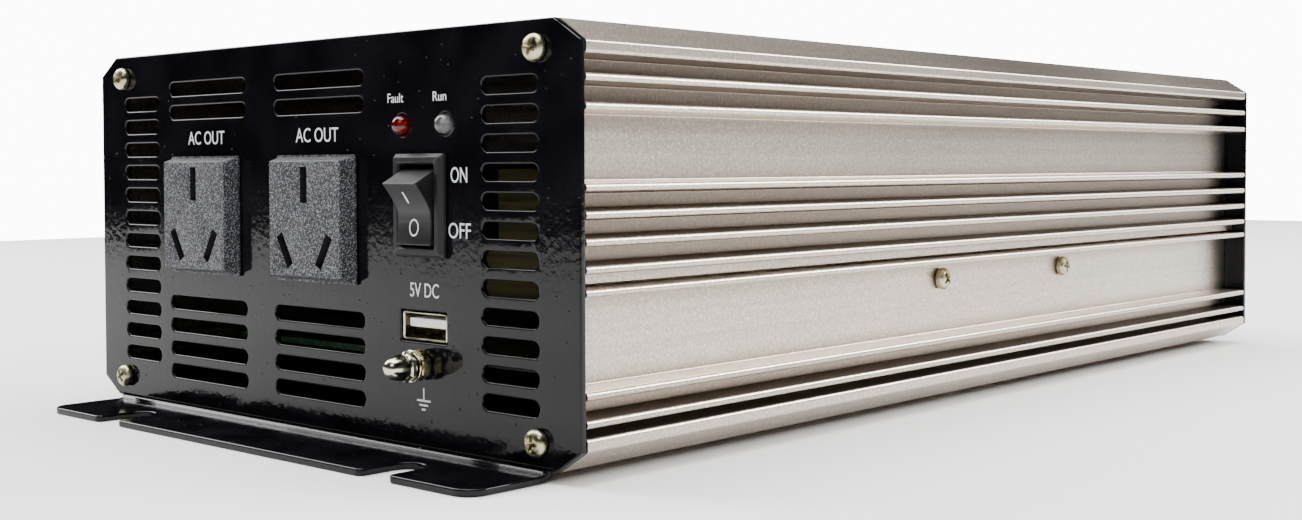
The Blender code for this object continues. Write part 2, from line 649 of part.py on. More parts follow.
def make_switch():
    """Rocker switch; the rocker rests with its upper half out, which is off."""
    place = (CONTROL_X, -FACE_Y, SWITCH_Z)
    bevel = SWITCH_BEVEL
    loops = [rect(*SWITCH_BODY, SWITCH_DEPTH), rect(*SWITCH_BODY, -GAP), rect(*SWITCH_BEZEL, -GAP)]
    loops += [rect(*SWITCH_BEZEL, -SWITCH_PROUD + bevel)]
    loops += [rect(SWITCH_BEZEL[0] - 2 * bevel, SWITCH_BEZEL[1] - 2 * bevel, -SWITCH_PROUD)]
    loops += [rect(*SWITCH_WINDOW, -SWITCH_PROUD), rect(*SWITCH_WINDOW, SWITCH_CAVITY)]
    housing = finish("switch_housing", loft(loops), SATIN_BLACK, place=place)
    peg_radius, peg_reach = ROCKER_PEG
    half = SWITCH_WINDOW[0] / 2
    holes = loft([ring(peg_radius + GAP / 2, -half - peg_reach, 12),
                  ring(peg_radius + GAP / 2, half + peg_reach, 12)])
    bmesh.ops.rotate(holes, verts=holes.verts[:], matrix=Matrix.Rotation(math.pi / 2, 3, "Z"))
    bmesh.ops.translate(holes, verts=holes.verts[:], vec=(0, ROCKER_PIVOT_DEPTH, 0))
    cutter("switch_peg_holes", holes, housing)

    profile = rocker_profile()
    slab = half - GAP
    body = loft([[(x, y, z) for y, z in profile] for x in (-slab, slab)])
    turn = Matrix.Rotation(ROCKER_THROW / 2, 3, "X")
    bmesh.ops.rotate(body, verts=body.verts[:], matrix=turn)
    pivot = (CONTROL_X, -FACE_Y + ROCKER_PIVOT_DEPTH, SWITCH_Z)
    rocker = finish("switch_rocker", body, SATIN_BLACK, place=pivot)
    reach = half + peg_reach - GAP / 2
    pegs = loft([ring(peg_radius, -reach, 12), ring(peg_radius, reach, 12)])
    bmesh.ops.rotate(pegs, verts=pegs.verts[:], matrix=Matrix.Rotation(math.pi / 2, 3, "Z"))
    cutter("rocker_pegs", pegs, rocker, "UNION")


def make_leds():
    """Round indicator lamps that poke through the panel from behind."""
    for name, x, mat in zip(("alarm_led", "power_led"), LED_X, (RED_LENS, CLEAR_LENS)):
        collar = LED_RADIUS + LED_COLLAR[0]
        back = PANEL_THICK + GAP
        loops = [ring(collar, back + LED_COLLAR[1]), ring(collar, back), ring(LED_RADIUS, back)]
        straight = LED_PROUD - LED_RADIUS
        loops += [ring(LED_RADIUS, -straight)]
        for i in range(1, 4):
            angle = math.pi / 2 * i / 4
            loops.append(ring(LED_RADIUS * math.cos(angle), -straight - LED_RADIUS * math.sin(angle)))
        loops += [ring(LED_RADIUS * 0.1, -LED_PROUD)]
        finish(name, loft(loops), mat, place=(x, -FACE_Y, BASE_Z + LED_RISE), smooth=True)


def make_usb():
    """Charging socket: a folded shell with a tongue inside."""
    place = (CONTROL_X, -FACE_Y, BASE_Z + USB_RISE)
    width, height = USB_SHELL
    inner = (width - 2 * USB_WALL, height - 2 * USB_WALL)
    floor = USB_DEPTH - USB_BACK_WALL
    loops = [rect(width, height, USB_DEPTH), rect(width, height, GAP)]
    loops += [rect(*inner, GAP), rect(*inner, floor)]
    finish("usb_shell", loft(loops), NICKEL, place=place)
    wide, thick = USB_TONGUE
    lift = inner[1] / 2 - thick - USB_TONGUE_LIFT
    tongue = box(-wide / 2, wide / 2, USB_TONGUE_SET_BACK, floor - GAP, lift, lift + thick)
    finish("usb_tongue", tongue, WHITE_PLASTIC, place=place)


def nut(across, thick, bore):
    """Plain hexagon nut along Y, with its back at y = 0."""
    outer = [(x, z) for x, _, z in hexagon(across, 0.0, 6 * 4)]
    return prism(outer, [circle(0, 0, bore, 16)], -thick, 0.0)


def washer(radius, thick, bore):
    """Plain washer along Y, with its back at y = 0."""
    return prism(circle(0, 0, radius, 24), [circle(0, 0, bore, 16)], -thick, 0.0)


def make_earth_terminal():
    """Earth stud with a hexagon nut, a washer and a domed cap nut."""
    height = BASE_Z + EARTH_RISE
    seat = PANEL_THICK + GAP
    nut_back = -GAP
    washer_back = nut_back - NUT_THICK - GAP
    cap_back = washer_back - WASHER[1] - GAP
    tip = cap_back - CAP_NUT_BORE + GAP
    head = SCREW_HEAD_RADIUS
    stud = loft([ring(head, seat + SCREW_HEAD_HEIGHT), ring(head, seat),
                 ring(SCREW_RADIUS, seat), ring(SCREW_RADIUS, tip)])
    finish("earth_stud", stud, ZINC, place=(CONTROL_X, -FACE_Y, height), smooth=True)
    finish("earth_hex_nut", nut(NUT_ACROSS, NUT_THICK, HOLE_RADIUS), ZINC,
           place=(CONTROL_X, -FACE_Y + nut_back, height))
    finish("earth_washer", washer(*WASHER, HOLE_RADIUS), NICKEL,
           place=(CONTROL_X, -FACE_Y + washer_back, height), smooth=True)
    loops = [ring(HOLE_RADIUS, -CAP_NUT_BORE, 24), ring(HOLE_RADIUS, 0.0, 24)]
    loops += [hexagon(NUT_ACROSS, 0.0), hexagon(NUT_ACROSS, -CAP_NUT_HEX)]
    rise = CAP_NUT_HEIGHT - CAP_NUT_HEX
    for i in range(5):
        angle = math.pi / 2 * i / 5
        loops.append(ring(CAP_NUT_DOME * math.cos(angle), -CAP_NUT_HEX - rise * math.sin(angle), 24))
    loops.append(ring(CAP_NUT_DOME * 0.1, -CAP_NUT_HEIGHT, 24))
    finish("earth_cap_nut", loft(loops), NICKEL, smooth=True,
           place=(CONTROL_X, -FACE_Y + cap_back, height))


# ---------------------------------------------------------------- rear of the inverter
def fan_frame():
    """Square fan frame with a round bore and, at its inner end, three arms that hold the motor."""
    half = FAN_SIZE / 2
    cut = FAN_CORNER
    outline = [(half - cut, half), (half, half - cut), (half, cut - half), (half - cut, -half)]
    outline += [(cut - half, -half), (-half, cut - half), (-half, half - cut), (cut - half, half)]
    corners = [(sx * FAN_SCREW_SPAN, sz * FAN_SCREW_SPAN) for sx in (-1, 1) for sz in (-1, 1)]
    holes = [circle(x, z, HOLE_RADIUS, 8) for x, z in corners]
    return prism(outline, holes + [circle(0, 0, FAN_BORE, 24)], 0.0, FAN_DEPTH)


def fan_spider():
    """Motor plate and arms, as one flat star."""
    points = []
    reach = FAN_BORE + FAN_ARM_LAP
    for arm in range(3):
        middle = 2 * math.pi * arm / 3 + math.pi / 2
        for side, radius in ((-1, FAN_HUB), (-1, reach), (1, reach), (1, FAN_HUB)):
            half_angle = math.asin(FAN_ARM / 2 / radius)
            angle = middle + side * half_angle
            points.append((radius * math.cos(angle), radius * math.sin(angle)))
        for i in range(1, 4):
            angle = middle + 2 * math.pi / 3 * i / 4
            points.append((FAN_HUB * math.cos(angle), FAN_HUB * math.sin(angle)))
    return prism(points, [], FAN_DEPTH - FAN_SPIDER, FAN_DEPTH - GAP / 2)


def rotor_blades():
    """Pitched blades, drawn from inside the hub to the tips."""
    bm = bmesh.new()
    inner = FAN_HUB - BLADE_MARGIN
    for blade in range(BLADE_COUNT):
        start = 2 * math.pi * blade / BLADE_COUNT
        rows = []
        for step in range(BLADE_STEPS + 1):
            radius = inner + (ROTOR_TIP - inner) * step / BLADE_STEPS
            sweep = start + BLADE_SWEEP * step / BLADE_STEPS
            twist = BLADE_TWIST - BLADE_UNTWIST * step
            ends = ((BLADE_MARGIN, sweep - twist), (ROTOR_DEPTH - BLADE_MARGIN, sweep + twist))
            row = []
            for y, angle in ends:
                for off in (-BLADE_THICK / 2, BLADE_THICK / 2):
                    turn = angle + off / radius
                    row.append(bm.verts.new((radius * math.cos(turn), y, radius * math.sin(turn))))
            rows.append([row[0], row[1], row[3], row[2]])
        for near, far in zip(rows, rows[1:]):
            for i in range(4):
                j = (i + 1) % 4
                bm.faces.new((near[i], near[j], far[j], far[i]))
        bm.faces.new(rows[0])
        bm.faces.new(rows[-1][::-1])
    return bm


def make_fans():
    """Two box fans behind the rear grilles."""
    for name, (x, z) in zip(("left", "right"), fan_centres()):
        place = (x, INNER_Y - GAP, z)
        turn = (0, 0, math.pi)
        frame = finish(f"fan_frame_{name}", fan_frame(), BLACK_PLASTIC, place=place, turn=turn)
        cutter(f"fan_spider_{name}", fan_spider(), frame, "UNION")
        hub = loft([ring(FAN_HUB, 0.0, 20), ring(FAN_HUB, ROTOR_DEPTH, 20)])
        spot = (x, INNER_Y - 2 * GAP - ROTOR_SET_BACK, z)
        rotor = finish(f"fan_rotor_{name}", hub, BLACK_PLASTIC, place=spot, turn=turn, smooth=True)
        cutter(f"fan_blades_{name}", rotor_blades(), rotor, "UNION")


def make_terminals():
    """Battery terminals: insulator, stud, washer and nut for each pole."""
    poles = (("positive", MID_Z + TERMINAL_SPACING / 2, RED_PLASTIC),
             ("negative", MID_Z - TERMINAL_SPACING / 2, BLACK_PLASTIC))
    bore = TERMINAL_STUD + SHANK_GAP
    flange_radius, flange_thick = TERMINAL_FLANGE
    turn = (0, 0, math.pi)
    for pole, height, mat in poles:
        inside = PANEL_THICK + TERMINAL_TUBE
        loops = [ring(bore, inside, 24), ring(TERMINAL_NECK, inside, 24), ring(TERMINAL_NECK, -GAP, 24)]
        loops += [ring(flange_radius, -GAP, 24), ring(flange_radius, -flange_thick * 0.8, 24)]
        loops += [ring(flange_radius * 0.93, -flange_thick, 24), ring(bore, -flange_thick, 24)]
        tube = hollow(loops)
        finish(f"terminal_insulator_{pole}", tube, mat, place=(0, FACE_Y, height), turn=turn,
               smooth=True)
        seat = -flange_thick - GAP
        finish(f"terminal_washer_{pole}", washer(*TERMINAL_WASHER, bore), NICKEL, smooth=True,
               place=(0, FACE_Y - seat, height), turn=turn)
        seat -= TERMINAL_WASHER[1] + GAP
        finish(f"terminal_nut_{pole}", nut(TERMINAL_NUT_ACROSS, TERMINAL_NUT_THICK, bore), BRASS,
               place=(0, FACE_Y - seat, height), turn=turn)
        head = inside + GAP
        stud = loft([ring(TERMINAL_NECK, head + TERMINAL_HEAD), ring(TERMINAL_NECK, head),
                     ring(TERMINAL_STUD, head), ring(TERMINAL_STUD, TERMINAL_CHAMFER - TERMINAL_REACH),
                     ring(TERMINAL_STUD - TERMINAL_CHAMFER, -TERMINAL_REACH)])
        finish(f"terminal_stud_{pole}", stud, BRASS, place=(0, FACE_Y, height), turn=turn, smooth=True)


def hollow(loops):
    """Skin over a row of loops that closes back on the first one, such as a bush."""
    bm = bmesh.new()
    rings = [[bm.verts.new(point) for point in loop] for loop in loops]
    count = len(rings[0])
    for near, far in zip(rings, rings[1:] + rings[:1]):
        for i in range(count):
            j = (i + 1) % count
            bm.faces.new((near[i], near[j], far[j], far[i]))
    return bm


# ---------------------------------------------------------------- inside the inverter
def make_board():
    """Main circuit board, held by its long edges in the lower case's ledges."""
    half = INSIDE_X - GAP
    board = box(-half, half, BOARD_FRONT, BOARD_REAR, BOARD_Z, BOARD_TOP)
    finish("main_board", board, GREEN_BOARD)


def make_transformers():
    """Two ferrite transformers, each a core with a winding round its middle leg."""
    wide, deep, tall = CORE_SIZE
    seat = BOARD_TOP + GAP
    inner = CORE_LEG / 2
    outer = inner + CORE_WINDOW
    low = CORE_YOKE
    high = tall - CORE_YOKE
    outline = [(-wide / 2, 0.0), (wide / 2, 0.0), (wide / 2, tall), (-wide / 2, tall)]
    windows = [[(s * inner, low), (s * outer, low), (s * outer, high), (s * inner, high)]
               for s in (-1, 1)]
    for i, (x, behind) in enumerate(CORE_PLACES):
        y = BOARD_FRONT + behind
        core = prism(outline, windows, -deep / 2, deep / 2)
        finish(f"transformer_core_{i + 1}", core, FERRITE, place=(x, y, seat))
        hx = inner + GAP
        hy = deep / 2 + GAP
        ox = hx + WINDING_BUILD
        oy = hy + WINDING_BUILD
        cut = WINDING_CORNER
        lines = []
        for ax, ay, bevel in ((hx, hy, cut / 8), (ox, oy, cut)):
            corner = [(ax - bevel, ay), (ax, ay - bevel), (ax, bevel - ay), (ax - bevel, -ay)]
            corner += [(bevel - ax, -ay), (-ax, bevel - ay), (-ax, ay - bevel), (bevel - ax, ay)]
            lines.append(corner)
        z0 = low + GAP
        z1 = high - GAP
        loops = [[(px, py, z0) for px, py in lines[0]], [(px, py, z0) for px, py in lines[1]]]
        loops += [[(px, py, z1) for px, py in lines[1]], [(px, py, z1) for px, py in lines[0]]]
        finish(f"transformer_winding_{i + 1}", hollow(loops), YELLOW_TAPE, place=(x, y, seat))


def transistor_leg(number, low):
    """One of three thin legs down to the board, starting inside the body."""
    thick = TRANSISTOR_BODY[1]
    wide, pitch, lap = TRANSISTOR_LEG
    middle = number * pitch
    return box(-thick * 0.75, -thick * 0.5, middle - wide / 2, middle + wide / 2, low, lap)


def make_transistors():
    """Power transistors pressed against the side walls by clamp bars, with their backs to the wall."""
    wide, thick, tall = TRANSISTOR_BODY
    bar_thick, bar_long, bar_tall = CLAMP_BAR
    height = BASE_Z + SIDE_SCREW_RISE
    middle = sum(SIDE_SCREW_Y) / 2
    wall = INSIDE_X - GAP
    near = wall - thick - GAP
    leg_low = BOARD_TOP + GAP - (height - tall / 2)
    for side, sign in (("left", -1), ("right", 1)):
        turn = (0, 0, 0) if sign > 0 else (0, 0, math.pi)
        for i, y in enumerate(TRANSISTOR_Y):
            body = box(-thick, 0.0, -wide / 2, wide / 2, 0.0, tall)
            obj = finish(f"transistor_{side}_{i + 1}", body, BLACK_PLASTIC,
                         place=(sign * wall, y, height - tall / 2), turn=turn)
            for leg in (-1, 0, 1):
                cutter(f"{obj.name}_leg_{leg + 2}", transistor_leg(leg, leg_low), obj, "UNION")
        holes = [circle(sign * (middle - y), 0.0, HOLE_RADIUS, 12) for y in SIDE_SCREW_Y]
        bar = prism(flat_rect(0, 0, bar_long, bar_tall), holes, 0.0, bar_thick)
        finish(f"clamp_bar_{side}", bar, STEEL, place=(sign * near, middle, height),
               turn=(0, 0, sign * math.pi / 2))


def make_capacitors():
    """Upright capacitors on the board."""
    input_x, from_rear = INPUT_CAPACITOR_PLACE
    bus_x, from_front = BUS_CAPACITOR_PLACE
    cans = (("input_capacitor", INPUT_CAPACITOR, input_x, BOARD_REAR - from_rear),
            ("bus_capacitor", BUS_CAPACITOR, bus_x, BOARD_FRONT + from_front))
    for name, (radius, tall), x, y in cans:
        can = loft([ring(radius, 0.0, 20), ring(radius, tall - CAPACITOR_EDGE, 20),
                    ring(radius - CAPACITOR_EDGE, tall, 20)])
        finish(name, can, BLUE_SLEEVE, place=(x, y, BOARD_TOP + GAP),
               turn=(math.pi / 2, 0, 0), smooth=True)


def make_fuse():
    """Blade fuse at the battery end of the board, with its two blades down."""
    wide, deep, tall = FUSE_SIZE
    blade = wide * 0.26
    drop = tall * 0.5
    points = [(-wide / 2, 0), (-wide / 2 + blade, 0), (-wide / 2 + blade, drop)]
    points += [(wide / 2 - blade, drop), (wide / 2 - blade, 0), (wide / 2, 0)]
    points += [(wide / 2, tall + drop), (-wide / 2, tall + drop)]
    body = prism(points, [], -deep / 2, deep / 2)
    x, from_rear = FUSE_PLACE
    finish("input_fuse", body, ORANGE_PLASTIC, place=(x, BOARD_REAR - from_rear, BOARD_TOP + GAP))


def make_cables():
    """Battery leads from the studs' inner ends down to the board."""
    start = FACE_Y - PANEL_THICK - TERMINAL_TAIL
    landing_x, from_rear = CABLE_LANDING
    end = BOARD_REAR - from_rear
    for pole, height, side, mat in (("positive", MID_Z + TERMINAL_SPACING / 2, 1, RED_PLASTIC),
                                    ("negative", MID_Z - TERMINAL_SPACING / 2, -1, BLACK_PLASTIC)):
        a = Vector((0, start, height))
        b = Vector((side * landing_x, end, BOARD_TOP + GAP))
        pull = (start - end) * 0.8
        points = interpolate_bezier(a, a - Vector((0, pull, 0)), b + Vector((0, 0, pull)), b, 14)
        curve = bpy.data.curves.new(f"cable_{pole}", "CURVE")
        curve.dimensions = "3D"
        curve.bevel_depth = CABLE_RADIUS
        curve.bevel_resolution = 2
        curve.use_fill_caps = True
        spline = curve.splines.new("POLY")
        spline.points.add(len(points) - 1)
        for point, co in zip(spline.points, points):
            point.co = (*co, 1.0)
        curve.materials.append(mat)
        obj = bpy.data.objects.new(f"cable_{pole}", curve)
        bpy.context.collection.objects.link(obj)


# ---------------------------------------------------------------- build
for old in list(bpy.data.objects):
    bpy.data.objects.remove(old, do_unlink=True)

TOOL = material("tool", (0.8, 0.2, 0.2), 0.5, 0.0)
ALUMINIUM = material("champagne_aluminium", (0.74, 0.70, 0.66), 0.32, 1.0)
POWDER = material("black_powder_coat", (0.012, 0.012, 0.014), 0.18, 0.0)
NICKEL = material("nickel_plate", (0.75, 0.72, 0.62), 0.22, 1.0)
ZINC = material("yellow_zinc", (0.66, 0.58, 0.32), 0.30, 1.0)
BRASS = material("brass", (0.72, 0.56, 0.27), 0.28, 1.0)
STEEL = material("plain_steel", (0.56, 0.56, 0.57), 0.40, 1.0)
DARK_PLASTIC = material("spark_textured_plastic", (0.055, 0.055, 0.062), 0.62, 0.0)
SATIN_BLACK = material("satin_black_plastic", (0.022, 0.022, 0.024), 0.42, 0.0)
BLACK_PLASTIC = material("black_plastic", (0.018, 0.018, 0.020), 0.50, 0.0)
WHITE_PLASTIC = material("white_plastic", (0.78, 0.77, 0.72), 0.45, 0.0)
RED_PLASTIC = material("red_plastic", (0.55, 0.02, 0.02), 0.40, 0.0)
ORANGE_PLASTIC = material("orange_plastic", (0.80, 0.28, 0.03), 0.35, 0.0)
RED_LENS = material("red_lens", (0.70, 0.03, 0.02), 0.08, 0.0)
CLEAR_LENS = material("clear_lens", (0.80, 0.82, 0.82), 0.05, 0.0)
GREEN_BOARD = material("circuit_board", (0.03, 0.18, 0.07), 0.45, 0.0)
FERRITE = material("ferrite", (0.05, 0.05, 0.052), 0.55, 0.0)
YELLOW_TAPE = material("winding_tape", (0.72, 0.52, 0.08), 0.50, 0.0)
BLUE_SLEEVE = material("capacitor_sleeve", (0.02, 0.05, 0.16), 0.40, 0.0)

make_case()
make_panels()
make_screws()
make_outlets()
make_switch()
make_leds()
make_usb()
make_earth_terminal()
make_fans()
make_terminals()
make_board()
make_transformers()
make_transistors()
make_capacitors()
make_fuse()
make_cables()
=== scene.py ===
import math

import bmesh
import bpy
from mathutils import Matrix, Vector


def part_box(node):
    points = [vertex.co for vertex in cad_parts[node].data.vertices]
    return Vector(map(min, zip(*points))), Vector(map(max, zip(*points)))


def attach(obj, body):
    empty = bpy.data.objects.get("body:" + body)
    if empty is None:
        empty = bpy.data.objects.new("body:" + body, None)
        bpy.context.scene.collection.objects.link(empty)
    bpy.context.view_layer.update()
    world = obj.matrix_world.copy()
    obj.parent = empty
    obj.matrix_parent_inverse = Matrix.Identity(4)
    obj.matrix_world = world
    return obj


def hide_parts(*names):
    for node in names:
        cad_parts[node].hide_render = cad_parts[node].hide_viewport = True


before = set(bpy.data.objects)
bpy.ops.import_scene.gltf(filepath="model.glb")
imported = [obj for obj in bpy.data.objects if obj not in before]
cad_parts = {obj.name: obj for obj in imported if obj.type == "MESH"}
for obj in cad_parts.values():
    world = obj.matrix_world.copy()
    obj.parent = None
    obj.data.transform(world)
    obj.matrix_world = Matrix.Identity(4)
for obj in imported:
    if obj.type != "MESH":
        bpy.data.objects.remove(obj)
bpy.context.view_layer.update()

# ---- places read from the frame
HALF_WIDTH, CASE_END, TOP_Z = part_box("upper_case")[1]
BASE_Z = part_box("lower_case")[0].z

# ---- sizes of the aluminium case
CORNER_X = 0.0068            # bevelled corner, across and upwards
CORNER_Z = 0.0045
FIN_DEPTH = 0.0065
FIN_TIP = 0.0016
FIN_ROOT = 0.0022
CORNER_FIN = 0.0024
TOP_FIN_DROPS = (0.0112, 0.0166)
SEAM_RISE = 0.0349
SEAM_GAP = 0.0006
SEAM_FIN_RISES = (0.0185, 0.0134, 0.0083, 0.0032)
SEAM_FIN_DROP = 0.0011
BASE_FIN_RISES = (0.0147, 0.0095)
SKIRT_DEPTH = 0.0040
WALL = 0.0020
ROOF = 0.0025
LIP_THICK = 0.0010
LIP_HEIGHT = 0.0034
GAP = 0.0003
PORT_INSET = 0.0110
PORT_BLOCK = 0.0034
ROOF_GROOVES = 5
ROOF_GROOVE_PITCH = 0.0060
ROOF_GROOVE_WIDTH = 0.0024
ROOF_GROOVE_DEPTH = 0.0010
ROOF_GROOVE_START = 0.0340
SOFT_EDGE = 0.0003
FLOOR_X = HALF_WIDTH - FIN_DEPTH
INSIDE_X = FLOOR_X - WALL
SEAM_Z = BASE_Z + SEAM_RISE

# ---- sizes of the end panels
PANEL_THICK = 0.0015
PANEL_EDGE = 0.0004
BEND_RADIUS = 0.0015
BEND_STEPS = 12
FOOT_REACH = 0.0200
FOOT_CORNER = 0.0045
NOTCH_INSET = 0.0356
NOTCH_WIDTH = 0.0080
NOTCH_DEPTH = 0.0120
NOTCH_LIP = 0.0015
FACE_Y = CASE_END + GAP + PANEL_THICK
SLOT_HEIGHT = 0.00315
SLOT_PITCH = 0.00558
EDGE_SLOT_COUNT = 12
EDGE_SLOT_LENGTH = 0.0156
EDGE_SLOT_X = HALF_WIDTH - 0.0187
EDGE_SLOT_TOP_DROP = 0.0121
OUTLET_SLOT_LENGTH = 0.0316
OUTLET_SLOTS_ABOVE = (0.0299, 0.0243)
OUTLET_SLOTS_BELOW = (0.0212, 0.0267, 0.0323, 0.03785)
GRILLE_RADIUS = 0.0272
GRILLE_ROWS = 4


def centre(node):
    """Middle of a frame node's box."""
    low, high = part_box(node)
    return (low + high) / 2


OUTLET_X = (centre("outlet_left").x, centre("outlet_right").x)
OUTLET_Z = centre("outlet_left").z
OUTLET_BODY = 0.0250
CONTROL_X = centre("switch_housing").x
SWITCH_Z = centre("switch_housing").z
LED_X = (centre("alarm_led").x, centre("power_led").x)
LED_Z = centre("alarm_led").z
LED_RADIUS = 0.0020
USB_Z = centre("usb_shell").z
EARTH_Z = centre("earth_stud").z
FAN_X = centre("fan_frame_right").x
FAN_Z = centre("fan_frame_right").z
TERMINAL_Z = {pole: centre(f"terminal_stud_{pole}").z for pole in ("positive", "negative")}


# ---- shape helpers
def shaded(mesh, angle=35):
    """Shade a mesh smooth between edges sharper than an angle."""
    mesh.shade_smooth()
    mesh.set_sharp_from_angle(angle=math.radians(angle))


def piece(name, bm, mat, smooth=True, angle=35):
    """Make a closed bmesh into a named object at the origin, with one finish."""
    bmesh.ops.remove_doubles(bm, verts=bm.verts[:], dist=2e-7)
    bmesh.ops.recalc_face_normals(bm, faces=bm.faces[:])
    mesh = bpy.data.meshes.new(name)
    bm.to_mesh(mesh)
    bm.free()
    mesh.materials.append(mat)
    if smooth:
        shaded(mesh, angle)
    obj = bpy.data.objects.new(name, mesh)
    bpy.context.scene.collection.objects.link(obj)
    return obj


def plain(obj):
    """Turn an object with modifiers into a plain mesh object."""
    bpy.context.view_layer.update()
    graph = bpy.context.evaluated_depsgraph_get()
    mesh = bpy.data.meshes.new_from_object(obj.evaluated_get(graph))
    old = obj.data
    obj.modifiers.clear()
    obj.data = mesh
    if old.users == 0:
        bpy.data.meshes.remove(old)
    mesh.name = obj.name
    return obj


def even_shading(obj):
    """Keep broad faces flat where they meet small rounded edges."""
    mod = obj.modifiers.new("even_shading", "WEIGHTED_NORMAL")
    mod.weight = 100
    mod.keep_sharp = True
    return plain(obj)


def soften(obj, width, segments=3, angle=30):
    """Round the hard edges of a piece."""
    mod = obj.modifiers.new("soft_edges", "BEVEL")
    mod.width = width
    mod.segments = segments
    mod.limit_method = "ANGLE"
    mod.angle_limit = math.radians(angle)
    return even_shading(obj)


def cut(obj, *tools):
    """Apply exact Booleans and throw the tools away."""
    for tool in tools:
        mod = obj.modifiers.new(tool.name, "BOOLEAN")
        mod.object = tool
        mod.operation = "DIFFERENCE"
        mod.solver = "EXACT"
        mod.material_mode = "TRANSFER"
    plain(obj)
    for tool in tools:
        bpy.data.objects.remove(tool, do_unlink=True)
    return obj


def placed(bm, matrix):
    """Move a bmesh by a matrix."""
    bmesh.ops.transform(bm, matrix=matrix, verts=bm.verts[:])
    return bm


def at(x, y, z, turn=0.0):
    """Placing matrix, with a turn about Z."""
    return Matrix.Translation((x, y, z)) @ Matrix.Rotation(turn, 4, "Z")


def rounded(corners, steps=4):
    """Closed outline through (a, b, radius) corners, each rounded with an arc."""
    points = []
    count = len(corners)
    for i, (a, b, radius) in enumerate(corners):
        here = Vector((a, b))
        before = Vector(corners[i - 1][:2]) - here
        after = Vector(corners[(i + 1) % count][:2]) - here
        bend = before.angle(after, math.pi)
        if radius <= 0 or bend > math.pi - 0.02:
            points.append((a, b))
            continue
        reach = min(radius / math.tan(bend / 2), before.length * 0.49, after.length * 0.49)
        start = here + before.normalized() * reach
        end = here + after.normalized() * reach
        towards = (before.normalized() + after.normalized()).normalized()
        middle = here + towards * (reach / math.cos(bend / 2))
        first = start - middle
        last = end - middle
        sweep = math.copysign(first.angle(last, 0.0), first.cross(last))
        for k in range(steps + 1):
            points.append(tuple(middle + Matrix.Rotation(sweep * k / steps, 2) @ first))
    return points


def rounded_rect(width, height, radius, cx=0.0, cz=0.0, steps=5):
    """Rectangle with round corners, as (x, z) points."""
    corners = [(cx + a * width / 2, cz + b * height / 2, radius)
               for a, b in ((-1, -1), (1, -1), (1, 1), (-1, 1))]
    return rounded(corners, steps)


def circle(radius, count=32, cx=0.0, cz=0.0):
    """Points round a circle in the x-z plane."""
    steps = [2 * math.pi * i / count for i in range(count)]
    return [(cx + radius * math.cos(a), cz + radius * math.sin(a)) for a in steps]


def long_hole(cx, cz, length, height, steps=8):
    """Long hole with round ends, as (x, z) points."""
    radius = height / 2
    points = []
    for side in (1, -1):
        for i in range(steps + 1):
            angle = side * (-math.pi / 2 + math.pi * i / steps)
            x = side * (length / 2 - radius) + side * radius * math.cos(angle)
            points.append((cx + x, cz + radius * math.sin(angle)))
    return points


def prism(outline, near, far):
    """Outline of (x, z) points extruded from y = near to y = far."""
    bm = bmesh.new()
    verts = [bm.verts.new((x, near, z)) for x, z in outline]
    face = bm.faces.new(verts)
    made = bmesh.ops.extrude_face_region(bm, geom=[face], use_keep_orig=True)
    moved = [item for item in made["geom"] if isinstance(item, bmesh.types.BMVert)]
    bmesh.ops.translate(bm, verts=moved, vec=(0, far - near, 0))
    return bm


def skin(loops, closed=False):
    """Skin over a row of loops with equal point counts; a closed skin joins its two ends."""
    bm = bmesh.new()
    rings = [[bm.verts.new(point) for point in loop] for loop in loops]
    count = len(rings[0])
    pairs = list(zip(rings, rings[1:]))
    if closed:
        pairs.append((rings[-1], rings[0]))
    for near, far in pairs:
        for i in range(count):
            j = (i + 1) % count
            bm.faces.new((near[i], near[j], far[j], far[i]))
    if not closed:
        bm.faces.new(rings[0])
        bm.faces.new(rings[-1][::-1])
    return bm


def turned(profile, count=32, closed=False):
    """Solid turned about the Y axis from (radius, y) points."""
    return stacked([(circle(radius, count), y) for radius, y in profile], closed)


def level(outline, y):
    """Outline of (x, z) points set at one depth."""
    return [(x, y, z) for x, z in outline]


def stacked(layers, closed=False):
    """Skin over (outline, depth) layers along Y."""
    return skin([level(outline, y) for outline, y in layers], closed)


def inset(loop, distance):
    """Loop of (x, z) points moved inwards, or outwards by a negative distance."""
    area = sum(a[0] * b[1] - b[0] * a[1] for a, b in zip(loop, loop[1:] + loop[:1]))
    way = 1 if area > 0 else -1
    result = []
    for i, (x, z) in enumerate(loop):
        before = Vector((x - loop[i - 1][0], z - loop[i - 1][1])).normalized()
        nxt = loop[(i + 1) % len(loop)]
        after = Vector((nxt[0] - x, nxt[1] - z)).normalized()
        n1 = Vector((-before.y, before.x))
        n2 = Vector((-after.y, after.x))
        step = (n1 + n2) / max(1 + n1.dot(n2), 0.3)
        result.append((x + way * step.x * distance, z + way * step.y * distance))
    return result


def sheet(outline, holes, thick, radius, steps=4):
    """Flat sheet from y = 0 to y = thick, with every edge rounded as a coat of paint leaves it."""
    bm = bmesh.new()
    faces = {0.0: [], thick: []}
    for loop, inward in [(outline, 1)] + [(hole, -1) for hole in holes]:
        rings = []
        for k in range(steps + 1):
            angle = math.pi / 2 * k / steps
            shape = inset(loop, inward * radius * (1 - math.sin(angle)))
            rings.append(level(shape, radius * (1 - math.cos(angle))))
        rings += [[(x, thick - y, z) for x, y, z in ring] for ring in reversed(rings)]
        made = [[bm.verts.new(point) for point in ring] for ring in rings]
        for near, far in zip(made, made[1:]):
            for i in range(len(near)):
                j = (i + 1) % len(near)
                bm.faces.new((near[i], near[j], far[j], far[i]))
        for side, ring in ((0.0, made[0]), (thick, made[-1])):
            faces[side] += [bm.edges.get((a, b)) for a, b in zip(ring, ring[1:] + ring[:1])]
    for edges in faces.values():
        bmesh.ops.triangle_fill(bm, edges=edges, use_beauty=True, use_dissolve=False)
    return bm


